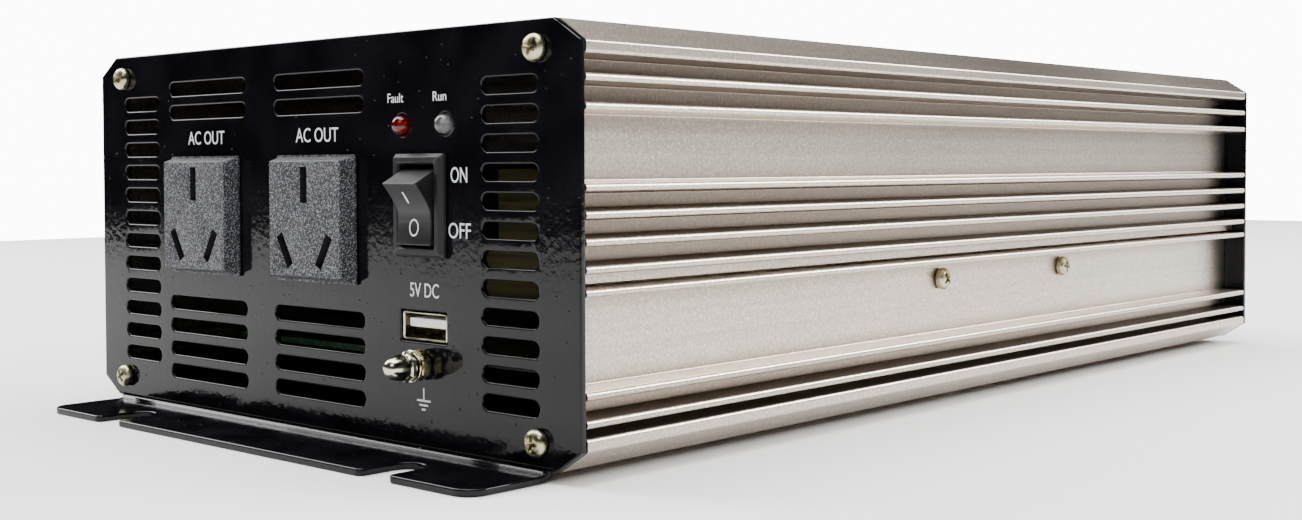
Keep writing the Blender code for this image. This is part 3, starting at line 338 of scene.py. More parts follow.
# ---- finishes
class Finish:
    """One procedural finish: a Principled shader fed by patterns on Object coordinates."""

    def __init__(self, name, colour, roughness, metallic=0.0, **sockets):
        self.mat = bpy.data.materials.new(name)
        self.mat.use_nodes = True
        self.tree = self.mat.node_tree
        self.shader = self.tree.nodes["Principled BSDF"]
        self.set("Base Color", (*colour, 1.0))
        self.set("Roughness", roughness)
        self.set("Metallic", metallic)
        for socket, value in sockets.items():
            self.set(socket.replace("_", " "), value)
        self.coords = self.tree.nodes.new("ShaderNodeTexCoord").outputs["Object"]
        self.normal = None

    def set(self, socket, value):
        self.shader.inputs[socket].default_value = value

    def link(self, a, b):
        self.tree.links.new(a, b)

    def node(self, kind, **inputs):
        """New shader node with some of its inputs set."""
        node = self.tree.nodes.new(f"ShaderNode{kind}")
        for socket, value in inputs.items():
            node.inputs[socket.replace("_", " ")].default_value = value
        return node

    def pattern(self, kind, size, stretch, **inputs):
        """Texture whose features are about `size` metres across, longer along some axes."""
        mapping = self.node("Mapping", Scale=[1 / (size * s) for s in stretch])
        node = self.node(kind, Scale=1.0, **inputs)
        self.link(self.coords, mapping.inputs["Vector"])
        self.link(mapping.outputs["Vector"], node.inputs["Vector"])
        return node

    def noise(self, size, stretch=(1, 1, 1), detail=4.0, blur=0.5):
        """Cloudy random pattern."""
        return self.pattern("TexNoise", size, stretch, Detail=detail, Roughness=blur).outputs["Fac"]

    def cells(self, size, feature="F1", stretch=(1, 1, 1)):
        """Distance pattern of random cells."""
        node = self.pattern("TexVoronoi", size, stretch)
        node.feature = feature
        return node.outputs["Distance"]

    def fit(self, value, low, high, to_low=0.0, to_high=1.0):
        """Rescale a pattern."""
        node = self.node("MapRange", From_Min=low, From_Max=high, To_Min=to_low, To_Max=to_high)
        self.link(value, node.inputs["Value"])
        return node.outputs["Result"]

    def edges(self):
        """Near 1 on sharp outer edges, where a painted highlight goes."""
        return self.fit(self.node("NewGeometry").outputs["Pointiness"], 0.52, 0.60)

    def painted_crevice_shade(self, reach, low, high):
        """Near 1 down in grooves and corners of the piece itself, where painted shade goes."""
        node = self.node("AmbientOcclusion", Distance=reach)
        node.only_local = True
        node.samples = 8
        return self.fit(node.outputs["AO"], low, high, 1.0, 0.0)

    def tint(self, share, one, two):
        """Base colour that runs between two colours, either of which may be an earlier tint."""
        node = self.node("Mix")
        node.data_type = "RGBA"
        self.link(share, node.inputs["Factor"])
        for socket, colour in ((node.inputs["A"], one), (node.inputs["B"], two)):
            if isinstance(colour, tuple):
                socket.default_value = (*colour, 1.0)
            else:
                self.link(colour, socket)
        result = node.outputs["Result"]
        self.link(result, self.shader.inputs["Base Color"])
        return result

    def gloss(self, value, rough_low, rough_high, low=0.3, high=0.7):
        """Roughness that runs between two values."""
        self.link(self.fit(value, low, high, rough_low, rough_high), self.shader.inputs["Roughness"])

    def bump(self, value, depth, strength=1.0):
        """Raise the surface by about `depth` metres where the pattern is high."""
        node = self.node("Bump", Strength=strength, Distance=depth)
        self.link(value, node.inputs["Height"])
        if self.normal:
            self.link(self.normal, node.inputs["Normal"])
        self.normal = node.outputs["Normal"]
        self.link(self.normal, self.shader.inputs["Normal"])


def anodised_aluminium():
    """Champagne anodising over a bead-blasted extrusion, with faint drawing lines along it and painted
    shade in its grooves and corners.
    """
    f = Finish("champagne_aluminium", (0.56, 0.49, 0.41), 0.36, 1.0)
    streaks = f.noise(0.0014, (1, 300, 1), 3.0)
    cloud = f.noise(0.045, (1, 2.5, 1), 3.0)
    grain = f.noise(0.00060, detail=2.5, blur=0.6)
    pits = f.noise(0.00075, detail=3.0, blur=0.6)
    first = f.tint(f.fit(streaks, 0.3, 0.7), (0.50, 0.435, 0.365), (0.60, 0.53, 0.45))
    second = f.tint(f.fit(pits, 0.40, 0.62, 0.0, 0.55), first, (0.36, 0.30, 0.245))
    third = f.tint(f.fit(grain, 0.52, 0.72, 0.0, 0.7), second, (0.88, 0.82, 0.74))
    # Painted shade: an occlusion mask darkens the grooves and corners towards a brownish near-black.
    f.tint(f.painted_crevice_shade(0.0070, 0.12, 0.80), third, (0.135, 0.10, 0.072))
    f.gloss(cloud, 0.285, 0.35)
    f.bump(grain, 0.00005, 0.8)
    f.bump(pits, 0.00004, 0.5)
    return f.mat


def powder_coat():
    """Gloss black powder coat with orange peel and a few nibs."""
    f = Finish("black_powder_coat", (0.003, 0.003, 0.004), 0.09, 0.0, Specular_IOR_Level=0.21)
    peel = f.noise(0.0013, detail=2.0, blur=0.45)
    broad = f.noise(0.012, detail=2.0)
    nibs = f.fit(f.cells(0.0030), 0.0, 0.10, 1.0, 0.0)
    f.tint(f.fit(broad, 0.35, 0.65), (0.0022, 0.0022, 0.0032), (0.005, 0.005, 0.0065))
    f.gloss(broad, 0.06, 0.12)
    f.bump(peel, 0.00005, 0.6)
    f.bump(broad, 0.00014, 0.3)
    f.bump(nibs, 0.00008, 0.9)
    return f.mat


def plated(name, dark, light, rough):
    """Bright plating with faint stains and fine random scratches."""
    f = Finish(name, light, rough, 1.0)
    stain = f.noise(0.0016, detail=4.0)
    lines = f.noise(0.00012, (1, 1, 14), 2.0)
    f.tint(f.fit(stain, 0.35, 0.7), dark, light)
    f.gloss(stain, rough * 0.7, rough * 1.5)
    f.bump(lines, 0.000006, 0.35)
    f.bump(stain, 0.00003, 0.25)
    return f.mat


def moulded(name, colour, light, rough, **sockets):
    """Moulded plastic with a fine texture, gloss that varies a little and a painted highlight on its
    sharp outer edges.
    """
    f = Finish(name, colour, rough, 0.0, **sockets)
    fine = f.noise(0.00035, detail=3.0)
    broad = f.noise(0.006, detail=3.0)
    first = f.tint(f.fit(broad, 0.35, 0.65), colour, light)
    # Painted highlight: sharp outer edges are lightened as if they caught the light.
    f.tint(f.edges(), first, tuple(min(1.0, c * 1.6 + 0.02) for c in light))
    f.gloss(broad, rough * 0.85, rough * 1.15)
    f.bump(fine, 0.00002, 0.8)
    return f.mat


def spark_textured():
    """Coarse spark-eroded texture of the outlets: hard bright grains on dark grey."""
    f = Finish("spark_textured_plastic", (0.05, 0.05, 0.055), 0.42, Specular_IOR_Level=0.40)
    grain = f.noise(0.0006, detail=3.0, blur=0.75)
    fine = f.noise(0.00034, detail=1.0)
    first = f.tint(f.fit(grain, 0.44, 0.58), (0.0015, 0.0015, 0.0025), (0.026, 0.027, 0.034))
    f.tint(f.fit(fine, 0.54, 0.61), first, (0.20, 0.205, 0.235))
    f.gloss(grain, 0.6, 0.28)
    f.bump(grain, 0.00025, 1.0)
    f.bump(fine, 0.00008, 1.0)
    return f.mat


def lens(name, colour):
    """Clear lamp resin, very slightly wavy."""
    f = Finish(name, colour, 0.04, 0.0, Transmission_Weight=0.92, IOR=1.49)
    wave = f.noise(0.0012, detail=2.0)
    f.gloss(wave, 0.020, 0.064)
    f.bump(wave, 0.00004, 0.3)
    return f.mat


def ink():
    """White screen-printed ink."""
    f = Finish("white_ink", (0.80, 0.81, 0.84), 0.42)
    speck = f.noise(0.0003, detail=3.0)
    f.tint(f.fit(speck, 0.3, 0.6), (0.62, 0.63, 0.67), (0.86, 0.87, 0.90))
    f.gloss(speck, 0.35, 0.5)
    f.bump(speck, 0.00001, 0.5)
    return f.mat


def circuit_board():
    """Green solder mask over copper tracks."""
    f = Finish("circuit_board", (0.02, 0.16, 0.06), 0.35)
    tracks = f.cells(0.006, "DISTANCE_TO_EDGE", (1, 2, 1))
    weave = f.noise(0.0008, detail=2.0)
    first = f.tint(f.fit(tracks, 0.03, 0.07, 1, 0), (0.012, 0.11, 0.04), (0.04, 0.22, 0.07))
    f.tint(f.fit(weave, 0.4, 0.7, 0, 0.3), first, (0.06, 0.26, 0.10))
    f.gloss(weave, 0.28, 0.42)
    f.bump(f.fit(tracks, 0.03, 0.07, 1, 0), 0.00004, 0.7)
    return f.mat


def ferrite():
    """Matt ground ferrite with pits."""
    f = Finish("ferrite", (0.05, 0.05, 0.052), 0.6)
    pits = f.noise(0.0007, detail=5.0, blur=0.7)
    f.tint(f.fit(pits, 0.35, 0.65), (0.022, 0.022, 0.024), (0.075, 0.075, 0.078))
    f.gloss(pits, 0.5, 0.75)
    f.bump(pits, 0.00006, 0.8)
    return f.mat


def winding_tape():
    """Yellow tape in overlapping turns over the copper, with its yellow darkened as painted shade for
    the dim inside of the case.
    """
    # Painted shade: the tape's colours are darkened to an olive, standing in for the shade inside the
    # case.
    f = Finish("winding_tape", (0.14, 0.11, 0.02), 0.45)
    turns = f.noise(0.0060, (8, 8, 0.25), 1.0)
    crease = f.noise(0.0015, detail=3.0)
    f.tint(f.fit(turns, 0.4, 0.6), (0.085, 0.065, 0.012), (0.17, 0.135, 0.028))
    f.gloss(crease, 0.28, 0.5)
    f.bump(turns, 0.0002, 0.6)
    f.bump(crease, 0.00008, 0.5)
    return f.mat


def sleeve(name, dark, light, rough=0.35):
    """Shrunk or extruded plastic sleeve with a slight waviness."""
    f = Finish(name, light, rough)
    wave = f.noise(0.004, (1, 1, 3), 3.0)
    fine = f.noise(0.0004, detail=2.0)
    f.tint(f.fit(wave, 0.35, 0.65), dark, light)
    f.gloss(wave, rough * 0.8, rough * 1.3)
    f.bump(wave, 0.00015, 0.4)
    f.bump(fine, 0.00001, 0.6)
    return f.mat


def brushed_steel():
    """Plain rolled steel with fine lines."""
    f = Finish("plain_steel", (0.55, 0.55, 0.56), 0.35, 1.0)
    lines = f.noise(0.0006, (1, 60, 1), 3.0)
    f.tint(f.fit(lines, 0.3, 0.7), (0.44, 0.44, 0.45), (0.62, 0.62, 0.63))
    f.gloss(lines, 0.28, 0.45)
    f.bump(lines, 0.00001, 0.6)
    return f.mat


ALUMINIUM = anodised_aluminium()
POWDER = powder_coat()
NICKEL = plated("nickel_plate", (0.40, 0.37, 0.25), (0.70, 0.67, 0.54), 0.17)
ZINC = plated("yellow_zinc", (0.38, 0.33, 0.13), (0.62, 0.56, 0.28), 0.24)
BRASS = plated("brass", (0.44, 0.29, 0.085), (0.64, 0.45, 0.17), 0.26)
# Painted shade: near-black, barely reflective plastic for the walls of the pin slots, standing in for
# the shade down in them.
SLOT_PAINTED_SHADE = moulded("shaded_slot_plastic", (0.0012, 0.0012, 0.0014), (0.002, 0.002, 0.0022), 0.8,
                     Specular_IOR_Level=0.08)
SCREW = plated("screw_plating", (0.36, 0.32, 0.18), (0.64, 0.60, 0.42), 0.30)
# Painted shade: the lamps' reflector cup is plated dark grey, standing in for the shade inside the
# lamps.
CUP_PAINTED_SHADE = plated("lamp_cup", (0.07, 0.07, 0.07), (0.20, 0.20, 0.20), 0.30)
# Painted shade: dark plating for the walls of the screws' cross recesses, standing in for the shade
# inside them.
RECESS_PAINTED_SHADE = plated("blackened_recess", (0.05, 0.045, 0.03), (0.13, 0.12, 0.09), 0.5)
STEEL = brushed_steel()
SPARK = spark_textured()
SATIN_BLACK = moulded("satin_black_plastic", (0.008, 0.008, 0.009), (0.013, 0.013, 0.015), 0.36,
                      Specular_IOR_Level=0.28)
BLACK_PLASTIC = moulded("black_plastic", (0.006, 0.006, 0.007), (0.012, 0.012, 0.013), 0.45)
WHITE_PLASTIC = moulded("white_plastic", (0.72, 0.71, 0.66), (0.82, 0.81, 0.77), 0.40)
RED_PLASTIC = moulded("red_plastic", (0.42, 0.012, 0.012), (0.55, 0.02, 0.018), 0.35)
ORANGE_PLASTIC = moulded("orange_plastic", (0.75, 0.22, 0.02), (0.85, 0.32, 0.04), 0.25)
RED_LENS = lens("red_lens", (0.70, 0.015, 0.008))
CLEAR_LENS = lens("clear_lens", (0.80, 0.82, 0.82))
WHITE_INK = ink()
BOARD = circuit_board()
FERRITE = ferrite()
TAPE = winding_tape()
BLUE_SLEEVE = sleeve("capacitor_sleeve", (0.012, 0.03, 0.11), (0.025, 0.06, 0.19))
RED_SLEEVE = sleeve("red_cable", (0.40, 0.01, 0.01), (0.58, 0.02, 0.02), 0.3)
BLACK_SLEEVE = sleeve("black_cable", (0.010, 0.010, 0.011), (0.02, 0.02, 0.022), 0.3)


def stands_for(obj, body, slot, *nodes):
    """Say what a piece moves with and which nodes it replaces; its slot is not used."""
    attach(obj, body)
    if nodes:
        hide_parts(*nodes)
    return obj


def fitted(name, solid, place, mat, body, slot, *nodes, angle=35):
    """Solid placed on the object, with its finish, its body and the nodes that it replaces."""
    obj = piece(name, placed(solid, place), mat, angle=angle)
    return stands_for(obj, body, slot, *nodes)


# ---- the case
def fin(height):
    """Corners of one fin on the right, from its top root to its bottom root."""
    tip = FIN_TIP / 2
    root = FIN_ROOT / 2
    return [(FLOOR_X, height + root, SOFT_EDGE), (HALF_WIDTH, height + tip, tip),
            (HALF_WIDTH, height - tip, tip), (FLOOR_X, height - root, SOFT_EDGE)]


def both_sides(half):
    """Full outline from its right-hand half, which starts and ends on the middle line."""
    return half + [(-x, z, r) for x, z, r in reversed(half) if x > 1e-9]


def upper_corners():
    """Upper case: roof with grooves, bevelled corner, six fins, skirt, lap joint and inside."""
    soft = SOFT_EDGE
    half = [(0.0, TOP_Z, 0)]
    low = TOP_Z - ROOF_GROOVE_DEPTH
    for i in range(ROOF_GROOVES):
        start = ROOF_GROOVE_START + i * ROOF_GROOVE_PITCH
        end = start + ROOF_GROOVE_WIDTH
        half += [(start, TOP_Z, soft), (start, low, soft), (end, low, soft), (end, TOP_Z, soft)]
    corner = TOP_Z - CORNER_Z
    half += [(HALF_WIDTH - CORNER_X, TOP_Z, 2 * soft), (HALF_WIDTH, corner, 2 * soft)]
    half += [(HALF_WIDTH, corner - CORNER_FIN, FIN_TIP / 2)]
    half += [(FLOOR_X, corner - CORNER_FIN - FIN_TIP / 4, soft)]
    for height in [TOP_Z - d for d in TOP_FIN_DROPS] + [SEAM_Z + r for r in SEAM_FIN_RISES]:
        half += fin(height)
    skirt = HALF_WIDTH - SKIRT_DEPTH
    last = half.pop()
    seam = SEAM_Z + SEAM_GAP / 2
    lap = INSIDE_X + LIP_THICK + GAP
    step = SEAM_Z + LIP_HEIGHT + GAP
    half += [(skirt, last[1] + FIN_ROOT / 8, soft), (skirt, seam, soft / 2), (lap, seam, 0)]
    half += [(lap, step, 0), (INSIDE_X, step, 0)]
    block = TOP_Z - 0.0055 - PORT_BLOCK
    edge = HALF_WIDTH - PORT_INSET - PORT_BLOCK
    half += [(INSIDE_X, block, soft), (edge, block, soft), (edge, TOP_Z - ROOF, soft)]
    return both_sides(half + [(0.0, TOP_Z - ROOF, 0)])


def lower_corners():
    """Lower case: floor, board ledges, lip under the seam, three fins and bevelled corner."""
    soft = SOFT_EDGE
    edge = HALF_WIDTH - PORT_INSET - PORT_BLOCK
    block = BASE_Z + 0.0053 + PORT_BLOCK
    half = [(0.0, BASE_Z + WALL, 0), (edge, BASE_Z + WALL, soft), (edge, block, soft)]
    half += [(INSIDE_X, block, soft)]
    board_low, board_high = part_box("main_board")
    ledge = 0.0013
    for top in (board_low.z - GAP, board_high.z + GAP + ledge):
        half += [(INSIDE_X, top - ledge, 0), (INSIDE_X - 0.0025, top - ledge, soft)]
        half += [(INSIDE_X - 0.0025, top, soft), (INSIDE_X, top, 0)]
    lip = SEAM_Z + LIP_HEIGHT
    seam = SEAM_Z - SEAM_GAP / 2
    half += [(INSIDE_X, lip, soft), (INSIDE_X + LIP_THICK, lip, soft), (INSIDE_X + LIP_THICK, seam, 0)]
    top_fin = fin(SEAM_Z - SEAM_FIN_DROP)
    half += top_fin[1:]
    for rise in BASE_FIN_RISES:
        half += fin(BASE_Z + rise)
    corner = BASE_Z + CORNER_Z
    half += [(FLOOR_X, corner + CORNER_FIN + FIN_TIP / 4, soft)]
    half += [(HALF_WIDTH, corner + CORNER_FIN, FIN_TIP / 2), (HALF_WIDTH, corner, 2 * soft)]
    half += [(HALF_WIDTH - CORNER_X, BASE_Z, 2 * soft), (0.0, BASE_Z, 0)]
    return both_sides(half)


def make_case():
    """Two extrusions with rounded fin tips, meeting along a seam low on each side."""
    for name, corners in (("upper_case", upper_corners()), ("lower_case", lower_corners())):
        shell = piece(f"{name}_shell", prism(rounded(corners, 5), -CASE_END, CASE_END), ALUMINIUM)
        even_shading(shell)
        stands_for(shell, "inverter", "champagne_aluminium", name)


# ---- the end panels
def foot_edge(half, flat_low):
    """Free edge of a flat foot, from right to left, with two open notches."""
    corners = [(half, flat_low, FOOT_CORNER)]
    notch_x = HALF_WIDTH - NOTCH_INSET
    radius = NOTCH_WIDTH / 2
    for middle in (notch_x, -notch_x):
        corners += [(middle + radius, flat_low, NOTCH_LIP)]
        corners += [(middle + radius, flat_low + NOTCH_DEPTH, radius)]
        corners += [(middle - radius, flat_low + NOTCH_DEPTH, radius)]
        corners += [(middle - radius, flat_low, NOTCH_LIP)]
    return corners + [(-half, flat_low, FOOT_CORNER)]


def bent_panel(holes, foot_half):
    """Panel drawn flat with its outer face at y = 0, then folded forward along its foot."""
    bend_top = PANEL_THICK + BEND_RADIUS
    middle = BEND_RADIUS + PANEL_THICK / 2
    bend_flat = middle * math.pi / 2
    flat_low = bend_top - bend_flat - (FOOT_REACH - BEND_RADIUS)
    right = [(HALF_WIDTH - CORNER_X, TOP_Z, 0), (HALF_WIDTH, TOP_Z - CORNER_Z, 0)]
    right += [(HALF_WIDTH, BASE_Z + CORNER_Z, 0), (HALF_WIDTH - CORNER_X, BASE_Z, 0)]
    right += [(foot_half, BASE_Z, 0)]
    left = [(-x, z, r) for x, z, r in reversed(right)]
    corners = right + foot_edge(foot_half, flat_low) + left
    bm = sheet(rounded(corners, 8), holes, PANEL_THICK, PANEL_EDGE)
    for i in range(BEND_STEPS + 1):
        height = bend_top - bend_flat * i / BEND_STEPS
        bmesh.ops.bisect_plane(bm, geom=bm.verts[:] + bm.edges[:] + bm.faces[:], dist=1e-7,
                               plane_co=(0, 0, height), plane_no=(0, 0, 1))
    for vert in bm.verts:
        below = bend_top - vert.co.z
        if below <= 0:
            continue
        radius = BEND_RADIUS + vert.co.y
        angle = min(below, bend_flat) / middle
        past = max(below - bend_flat, 0.0)
        vert.co.y = -BEND_RADIUS + radius * math.cos(angle) - past
        vert.co.z = bend_top - radius * math.sin(angle)
    return bm


def screw_spots(prefix):
    """Middles of four screws of the frame, as (x, z)."""
    spots = [centre(f"{prefix}_{i}") for i in range(1, 5)]
    return [(spot.x, spot.z) for spot in spots]


def front_holes():
    """Vents, outlets, switch, lamps, charging socket and earth stud."""
    holes = [circle(0.0018, 16, x, z) for x, z in screw_spots("front_screw")]
    for side in (-1, 1):
        for i in range(EDGE_SLOT_COUNT):
            height = TOP_Z - EDGE_SLOT_TOP_DROP - i * SLOT_PITCH
            holes.append(long_hole(side * EDGE_SLOT_X, height, EDGE_SLOT_LENGTH, SLOT_HEIGHT))
    heights = [OUTLET_Z + rise for rise in OUTLET_SLOTS_ABOVE]
    heights += [OUTLET_Z - drop for drop in OUTLET_SLOTS_BELOW]
    for x in OUTLET_X:
        holes += [long_hole(x, height, OUTLET_SLOT_LENGTH, SLOT_HEIGHT) for height in heights]
        holes.append(rounded_rect(0.0256, 0.0256, 0.0008, x, OUTLET_Z))
    holes.append(rounded_rect(0.0136, 0.0196, 0.0008, CONTROL_X, SWITCH_Z))
    holes += [circle(LED_RADIUS + GAP, 24, x, LED_Z) for x in LED_X]
    holes.append(rounded_rect(0.0141, 0.0063, 0.0004, CONTROL_X, USB_Z))
    holes.append(circle(0.0018, 16, CONTROL_X, EARTH_Z))
    return holes


def rear_holes():
    """Fan grilles, fan screws, panel screws and terminals, seen from behind."""
    holes = [circle(0.0018, 16, x, z) for x, z in screw_spots("rear_screw")]
    holes += [circle(0.0018, 16, -x, z) for x, z in screw_spots("fan_screw")]
    for x in (-FAN_X, FAN_X):
        for row in range(-GRILLE_ROWS, GRILLE_ROWS + 1):
            rise = row * SLOT_PITCH
            chord = 2 * math.sqrt(GRILLE_RADIUS ** 2 - (abs(rise) + SLOT_HEIGHT / 2) ** 2)
            holes.append(long_hole(x, FAN_Z + rise, chord, SLOT_HEIGHT))
    holes += [circle(0.0053, 32, 0, z) for z in TERMINAL_Z.values()]
    return holes


def make_panels():
    """Front and rear panels with painted, rounded edges."""
    for side, holes, turn in (("front", front_holes(), 0.0), ("rear", rear_holes(), math.pi)):
        node = f"{side}_panel"
        verts = [v.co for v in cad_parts[node].data.vertices]
        foot_half = max(v.x for v in verts if v.z < PANEL_THICK)
        place = at(0, FACE_Y if turn else -FACE_Y, 0, turn)
        panel = piece(f"{node}_sheet", placed(bent_panel(holes, foot_half), place), POWDER)
        even_shading(panel)
        stands_for(panel, "inverter", "black_powder_coat", node)


# ---- screws
HEAD_RADIUS = 0.0027
HEAD_HEIGHT = 0.0020


def phillips_screw():
    """Pan-head screw standing on z = 0 with its head up and a cross recess."""
    arc = [(HEAD_RADIUS * math.cos(a) ** 0.6, HEAD_HEIGHT * (0.25 + 0.75 * math.sin(a)))
           for a in [math.pi / 2 * i / 8 for i in range(8)]]
    profile = [(0.0014, -0.0060), (0.0014, 0.0), (HEAD_RADIUS * 0.96, 0.0)] + arc
    profile += [(HEAD_RADIUS * 0.08, HEAD_HEIGHT)]
    head = turned([(r, -y) for r, y in profile], 32)
    obj = piece("screw_pattern", placed(head, Matrix.Rotation(-math.pi / 2, 4, "X")), SCREW)
    tools = []
    # The cross recess walls take the dark painted-shade plating through the cut.
    for k in range(2):
        wide = rounded_rect(0.0036, 0.0009, 0.0002)
        deep = rounded_rect(0.0016, 0.0005, 0.0001)
        loops = [[(x, y, HEAD_HEIGHT + 0.0002) for x, y in wide],
                 [(x, y, HEAD_HEIGHT - 0.0014) for x, y in deep]]
        turn = Matrix.Rotation(k * math.pi / 2, 4, "Z")
        tools.append(piece(f"cross_{k}", placed(skin(loops), turn), RECESS_PAINTED_SHADE))
    cut(obj, *tools)
    shaded(obj.data)
    return obj


def screw_tree():
    """Geometry Nodes: a screw on every point, standing along its `facing`, at a random turn."""
    tree = bpy.data.node_groups.new("screws_on_points", "GeometryNodeTree")
    for name, kind in (("Geometry", "Geometry"), ("Screw", "Object"), ("Finish", "Material"),
                       ("Turn Seed", "Int"), ("Size", "Float")):
        tree.interface.new_socket(name, in_out="INPUT", socket_type=f"NodeSocket{kind}")
    tree.interface.new_socket("Geometry", in_out="OUTPUT", socket_type="NodeSocketGeometry")
    new = tree.nodes.new
    start = new("NodeGroupInput")
    end = new("NodeGroupOutput")
    source = new("GeometryNodeObjectInfo")
    facing = new("GeometryNodeInputNamedAttribute")
    facing.data_type = "FLOAT_VECTOR"
    facing.inputs["Name"].default_value = "facing"
    align = new("FunctionNodeAlignRotationToVector")
    align.axis = "Z"
    chance = new("FunctionNodeRandomValue")
    chance.data_type = "FLOAT"
    most_float = 3               # sockets that share a name are reached by number
    float_value = 1
    chance.inputs[most_float].default_value = math.pi / 2
    spin = new("FunctionNodeAxisAngleToRotation")
    spin.inputs["Axis"].default_value = (0, 0, 1)
    turn = new("FunctionNodeRotateRotation")
    turn.rotation_space = "LOCAL"
    place = new("GeometryNodeInstanceOnPoints")
    real = new("GeometryNodeRealizeInstances")
    paint = new("GeometryNodeSetMaterial")
    for one, output, other, socket in (
            (start, "Screw", source, "Object"), (facing, "Attribute", align, "Vector"),
            (start, "Turn Seed", chance, "Seed"), (chance, float_value, spin, "Angle"),
            (align, "Rotation", turn, "Rotation"), (spin, "Rotation", turn, "Rotate By"),
            (start, "Geometry", place, "Points"), (source, "Geometry", place, "Instance"),
            (turn, "Rotation", place, "Rotation"), (start, "Size", place, "Scale"),
            (place, "Instances", real, "Geometry"), (real, "Geometry", paint, "Geometry"),
            (start, "Finish", paint, "Material"), (paint, "Geometry", end, "Geometry")):
        tree.links.new(one.outputs[output], other.inputs[socket])
    return tree


def on_points(name, tree, spots, **values):
    """Run a points tree over (place, facing) pairs and keep the result as a plain mesh."""
    mesh = bpy.data.meshes.new(name)
    mesh.from_pydata([place for place, _ in spots], [], [])
    facing = mesh.attributes.new("facing", "FLOAT_VECTOR", "POINT")
    facing.data.foreach_set("vector", [value for _, way in spots for value in way])
    obj = bpy.data.objects.new(name, mesh)
    bpy.context.scene.collection.objects.link(obj)
    mod = obj.modifiers.new(name, "NODES")
    mod.node_group = tree
    for item in tree.interface.items_tree:
        if item.in_out == "INPUT" and item.name.replace(" ", "_") in values:
            mod[item.identifier] = values[item.name.replace(" ", "_")]
    return plain(obj)


def make_screws():
    """Cross-recess pan heads: four on each panel, two on each side, two on each fan."""
    pattern = phillips_screw()
    tree = screw_tree()
    sets = {"front_screw": (0, -1, 0), "rear_screw": (0, 1, 0), "fan_screw": (0, 1, 0)}
    for seed, prefix in enumerate(("front_screw", "rear_screw", "fan_screw", "side_screw")):
        spots = []
        for i in range(1, 5):
            low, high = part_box(f"{prefix}_{i}")
            middle = (low + high) / 2
            way = Vector(sets.get(prefix) or (math.copysign(1, middle.x), 0, 0))
            half = (high - low) / 2
            place = middle + way * (abs(way.dot(half)) - HEAD_HEIGHT)
            spots.append((place, way))
        screws = on_points(f"{prefix}s", tree, spots, Screw=pattern, Finish=SCREW,
                           Turn_Seed=11 + seed, Size=1.0)
        shaded(screws.data)
        stands_for(screws, "inverter", "nickel_plate", *[f"{prefix}_{i}" for i in range(1, 5)])
    bpy.data.objects.remove(pattern, do_unlink=True)


# ---- outlets
OUTLET_FLANGE = 0.0276
OUTLET_FACE = 0.0247
OUTLET_LIP = 0.0008
OUTLET_PROUD = 0.0038
OUTLET_DEPTH = 0.0200
PIN_SLOT = (0.0023, 0.0078)
PIN_PLACES = ((0.0, 0.00735, 0.0), (-0.00685, -0.0069, math.radians(30)),
              (0.00685, -0.0069, math.radians(-30)))


def make_outlets():
    """Snap-in outlets: thin flange, tapered block, one upright and two slanting pin slots."""
    for name, x in zip(("outlet_left", "outlet_right"), OUTLET_X):
        loops = []
        for size, radius, y in ((OUTLET_BODY, 0.0006, PANEL_THICK + OUTLET_DEPTH),
                                (OUTLET_BODY, 0.0006, -GAP), (OUTLET_FLANGE, 0.0007, -GAP),
                                (OUTLET_FLANGE, 0.0007, -OUTLET_LIP),
                                (OUTLET_FLANGE - 0.0009, 0.0006, -OUTLET_LIP),
                                (OUTLET_FACE + 0.0004, 0.0005, -OUTLET_PROUD + 0.0002),
                                (OUTLET_FACE, 0.0004, -OUTLET_PROUD)):
            loops.append((rounded_rect(size, size, radius), y))
        spot = at(x, -FACE_Y, OUTLET_Z)
        block = piece(f"{name}_block", placed(stacked(loops), spot), SPARK, angle=20)
        tools = []
        # The pin slot walls take the painted-shade plastic through the cut.
        for k, (px, pz, tilt) in enumerate(PIN_PLACES):
            pin = prism(rounded_rect(*PIN_SLOT, 0.0002), -0.010, 0.0100 - OUTLET_PROUD)
            turn = Matrix.Translation((px, 0, pz)) @ Matrix.Rotation(-tilt, 4, "Y")
            tools.append(piece(f"pin_{k}", placed(pin, spot @ turn), SLOT_PAINTED_SHADE, angle=20))
        cut(block, *tools)
        even_shading(block)
        stands_for(block, "inverter", "spark_textured_plastic", name)


# ---- rocker switch
SWITCH_BEZEL = (0.0150, 0.0210)
SWITCH_BODY = (0.0130, 0.0190)
SWITCH_WINDOW = (0.0106, 0.0166)
SWITCH_PROUD = 0.0020
SWITCH_DEPTH = 0.0150
SWITCH_CAVITY = 0.0090
ROCKER_PIVOT_DEPTH = 0.0010
ROCKER_REST = math.radians(17)
ROCKER_END = (0.0058, 0.0065)
ROCKER_VALLEY = 0.0036
ROCKER_BACK = 0.0077
ROCKER_HALF = 0.0050


def rocker_depth(share):
    """How far the rocker's face stands off its axle, at a share of its half length."""
    return ROCKER_VALLEY + (ROCKER_END[0] - ROCKER_VALLEY) * abs(share) ** 1.4


def rocker_place():
    """Rocker's frame on the panel, at rest with its upper half out."""
    pivot = Matrix.Translation((CONTROL_X, -FACE_Y + ROCKER_PIVOT_DEPTH, SWITCH_Z))
    return pivot @ Matrix.Rotation(ROCKER_REST, 4, "X")


def rocker_mark(outline, holes, name):
    """Flat printed mark laid on the rocker's curved face, from (x, z) outlines."""
    bm = sheet(outline, holes, 0.00006, 0.00001, 1)
    bmesh.ops.subdivide_edges(bm, edges=[e for e in bm.edges if e.calc_length() > 0.0007], cuts=3)
    for vert in bm.verts:
        share = vert.co.z / ROCKER_END[1]
        vert.co.y += -rocker_depth(share) - 0.00004
    mark = piece(name, placed(bm, rocker_place()), WHITE_INK, smooth=False)
    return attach(mark, "switch_rocker")


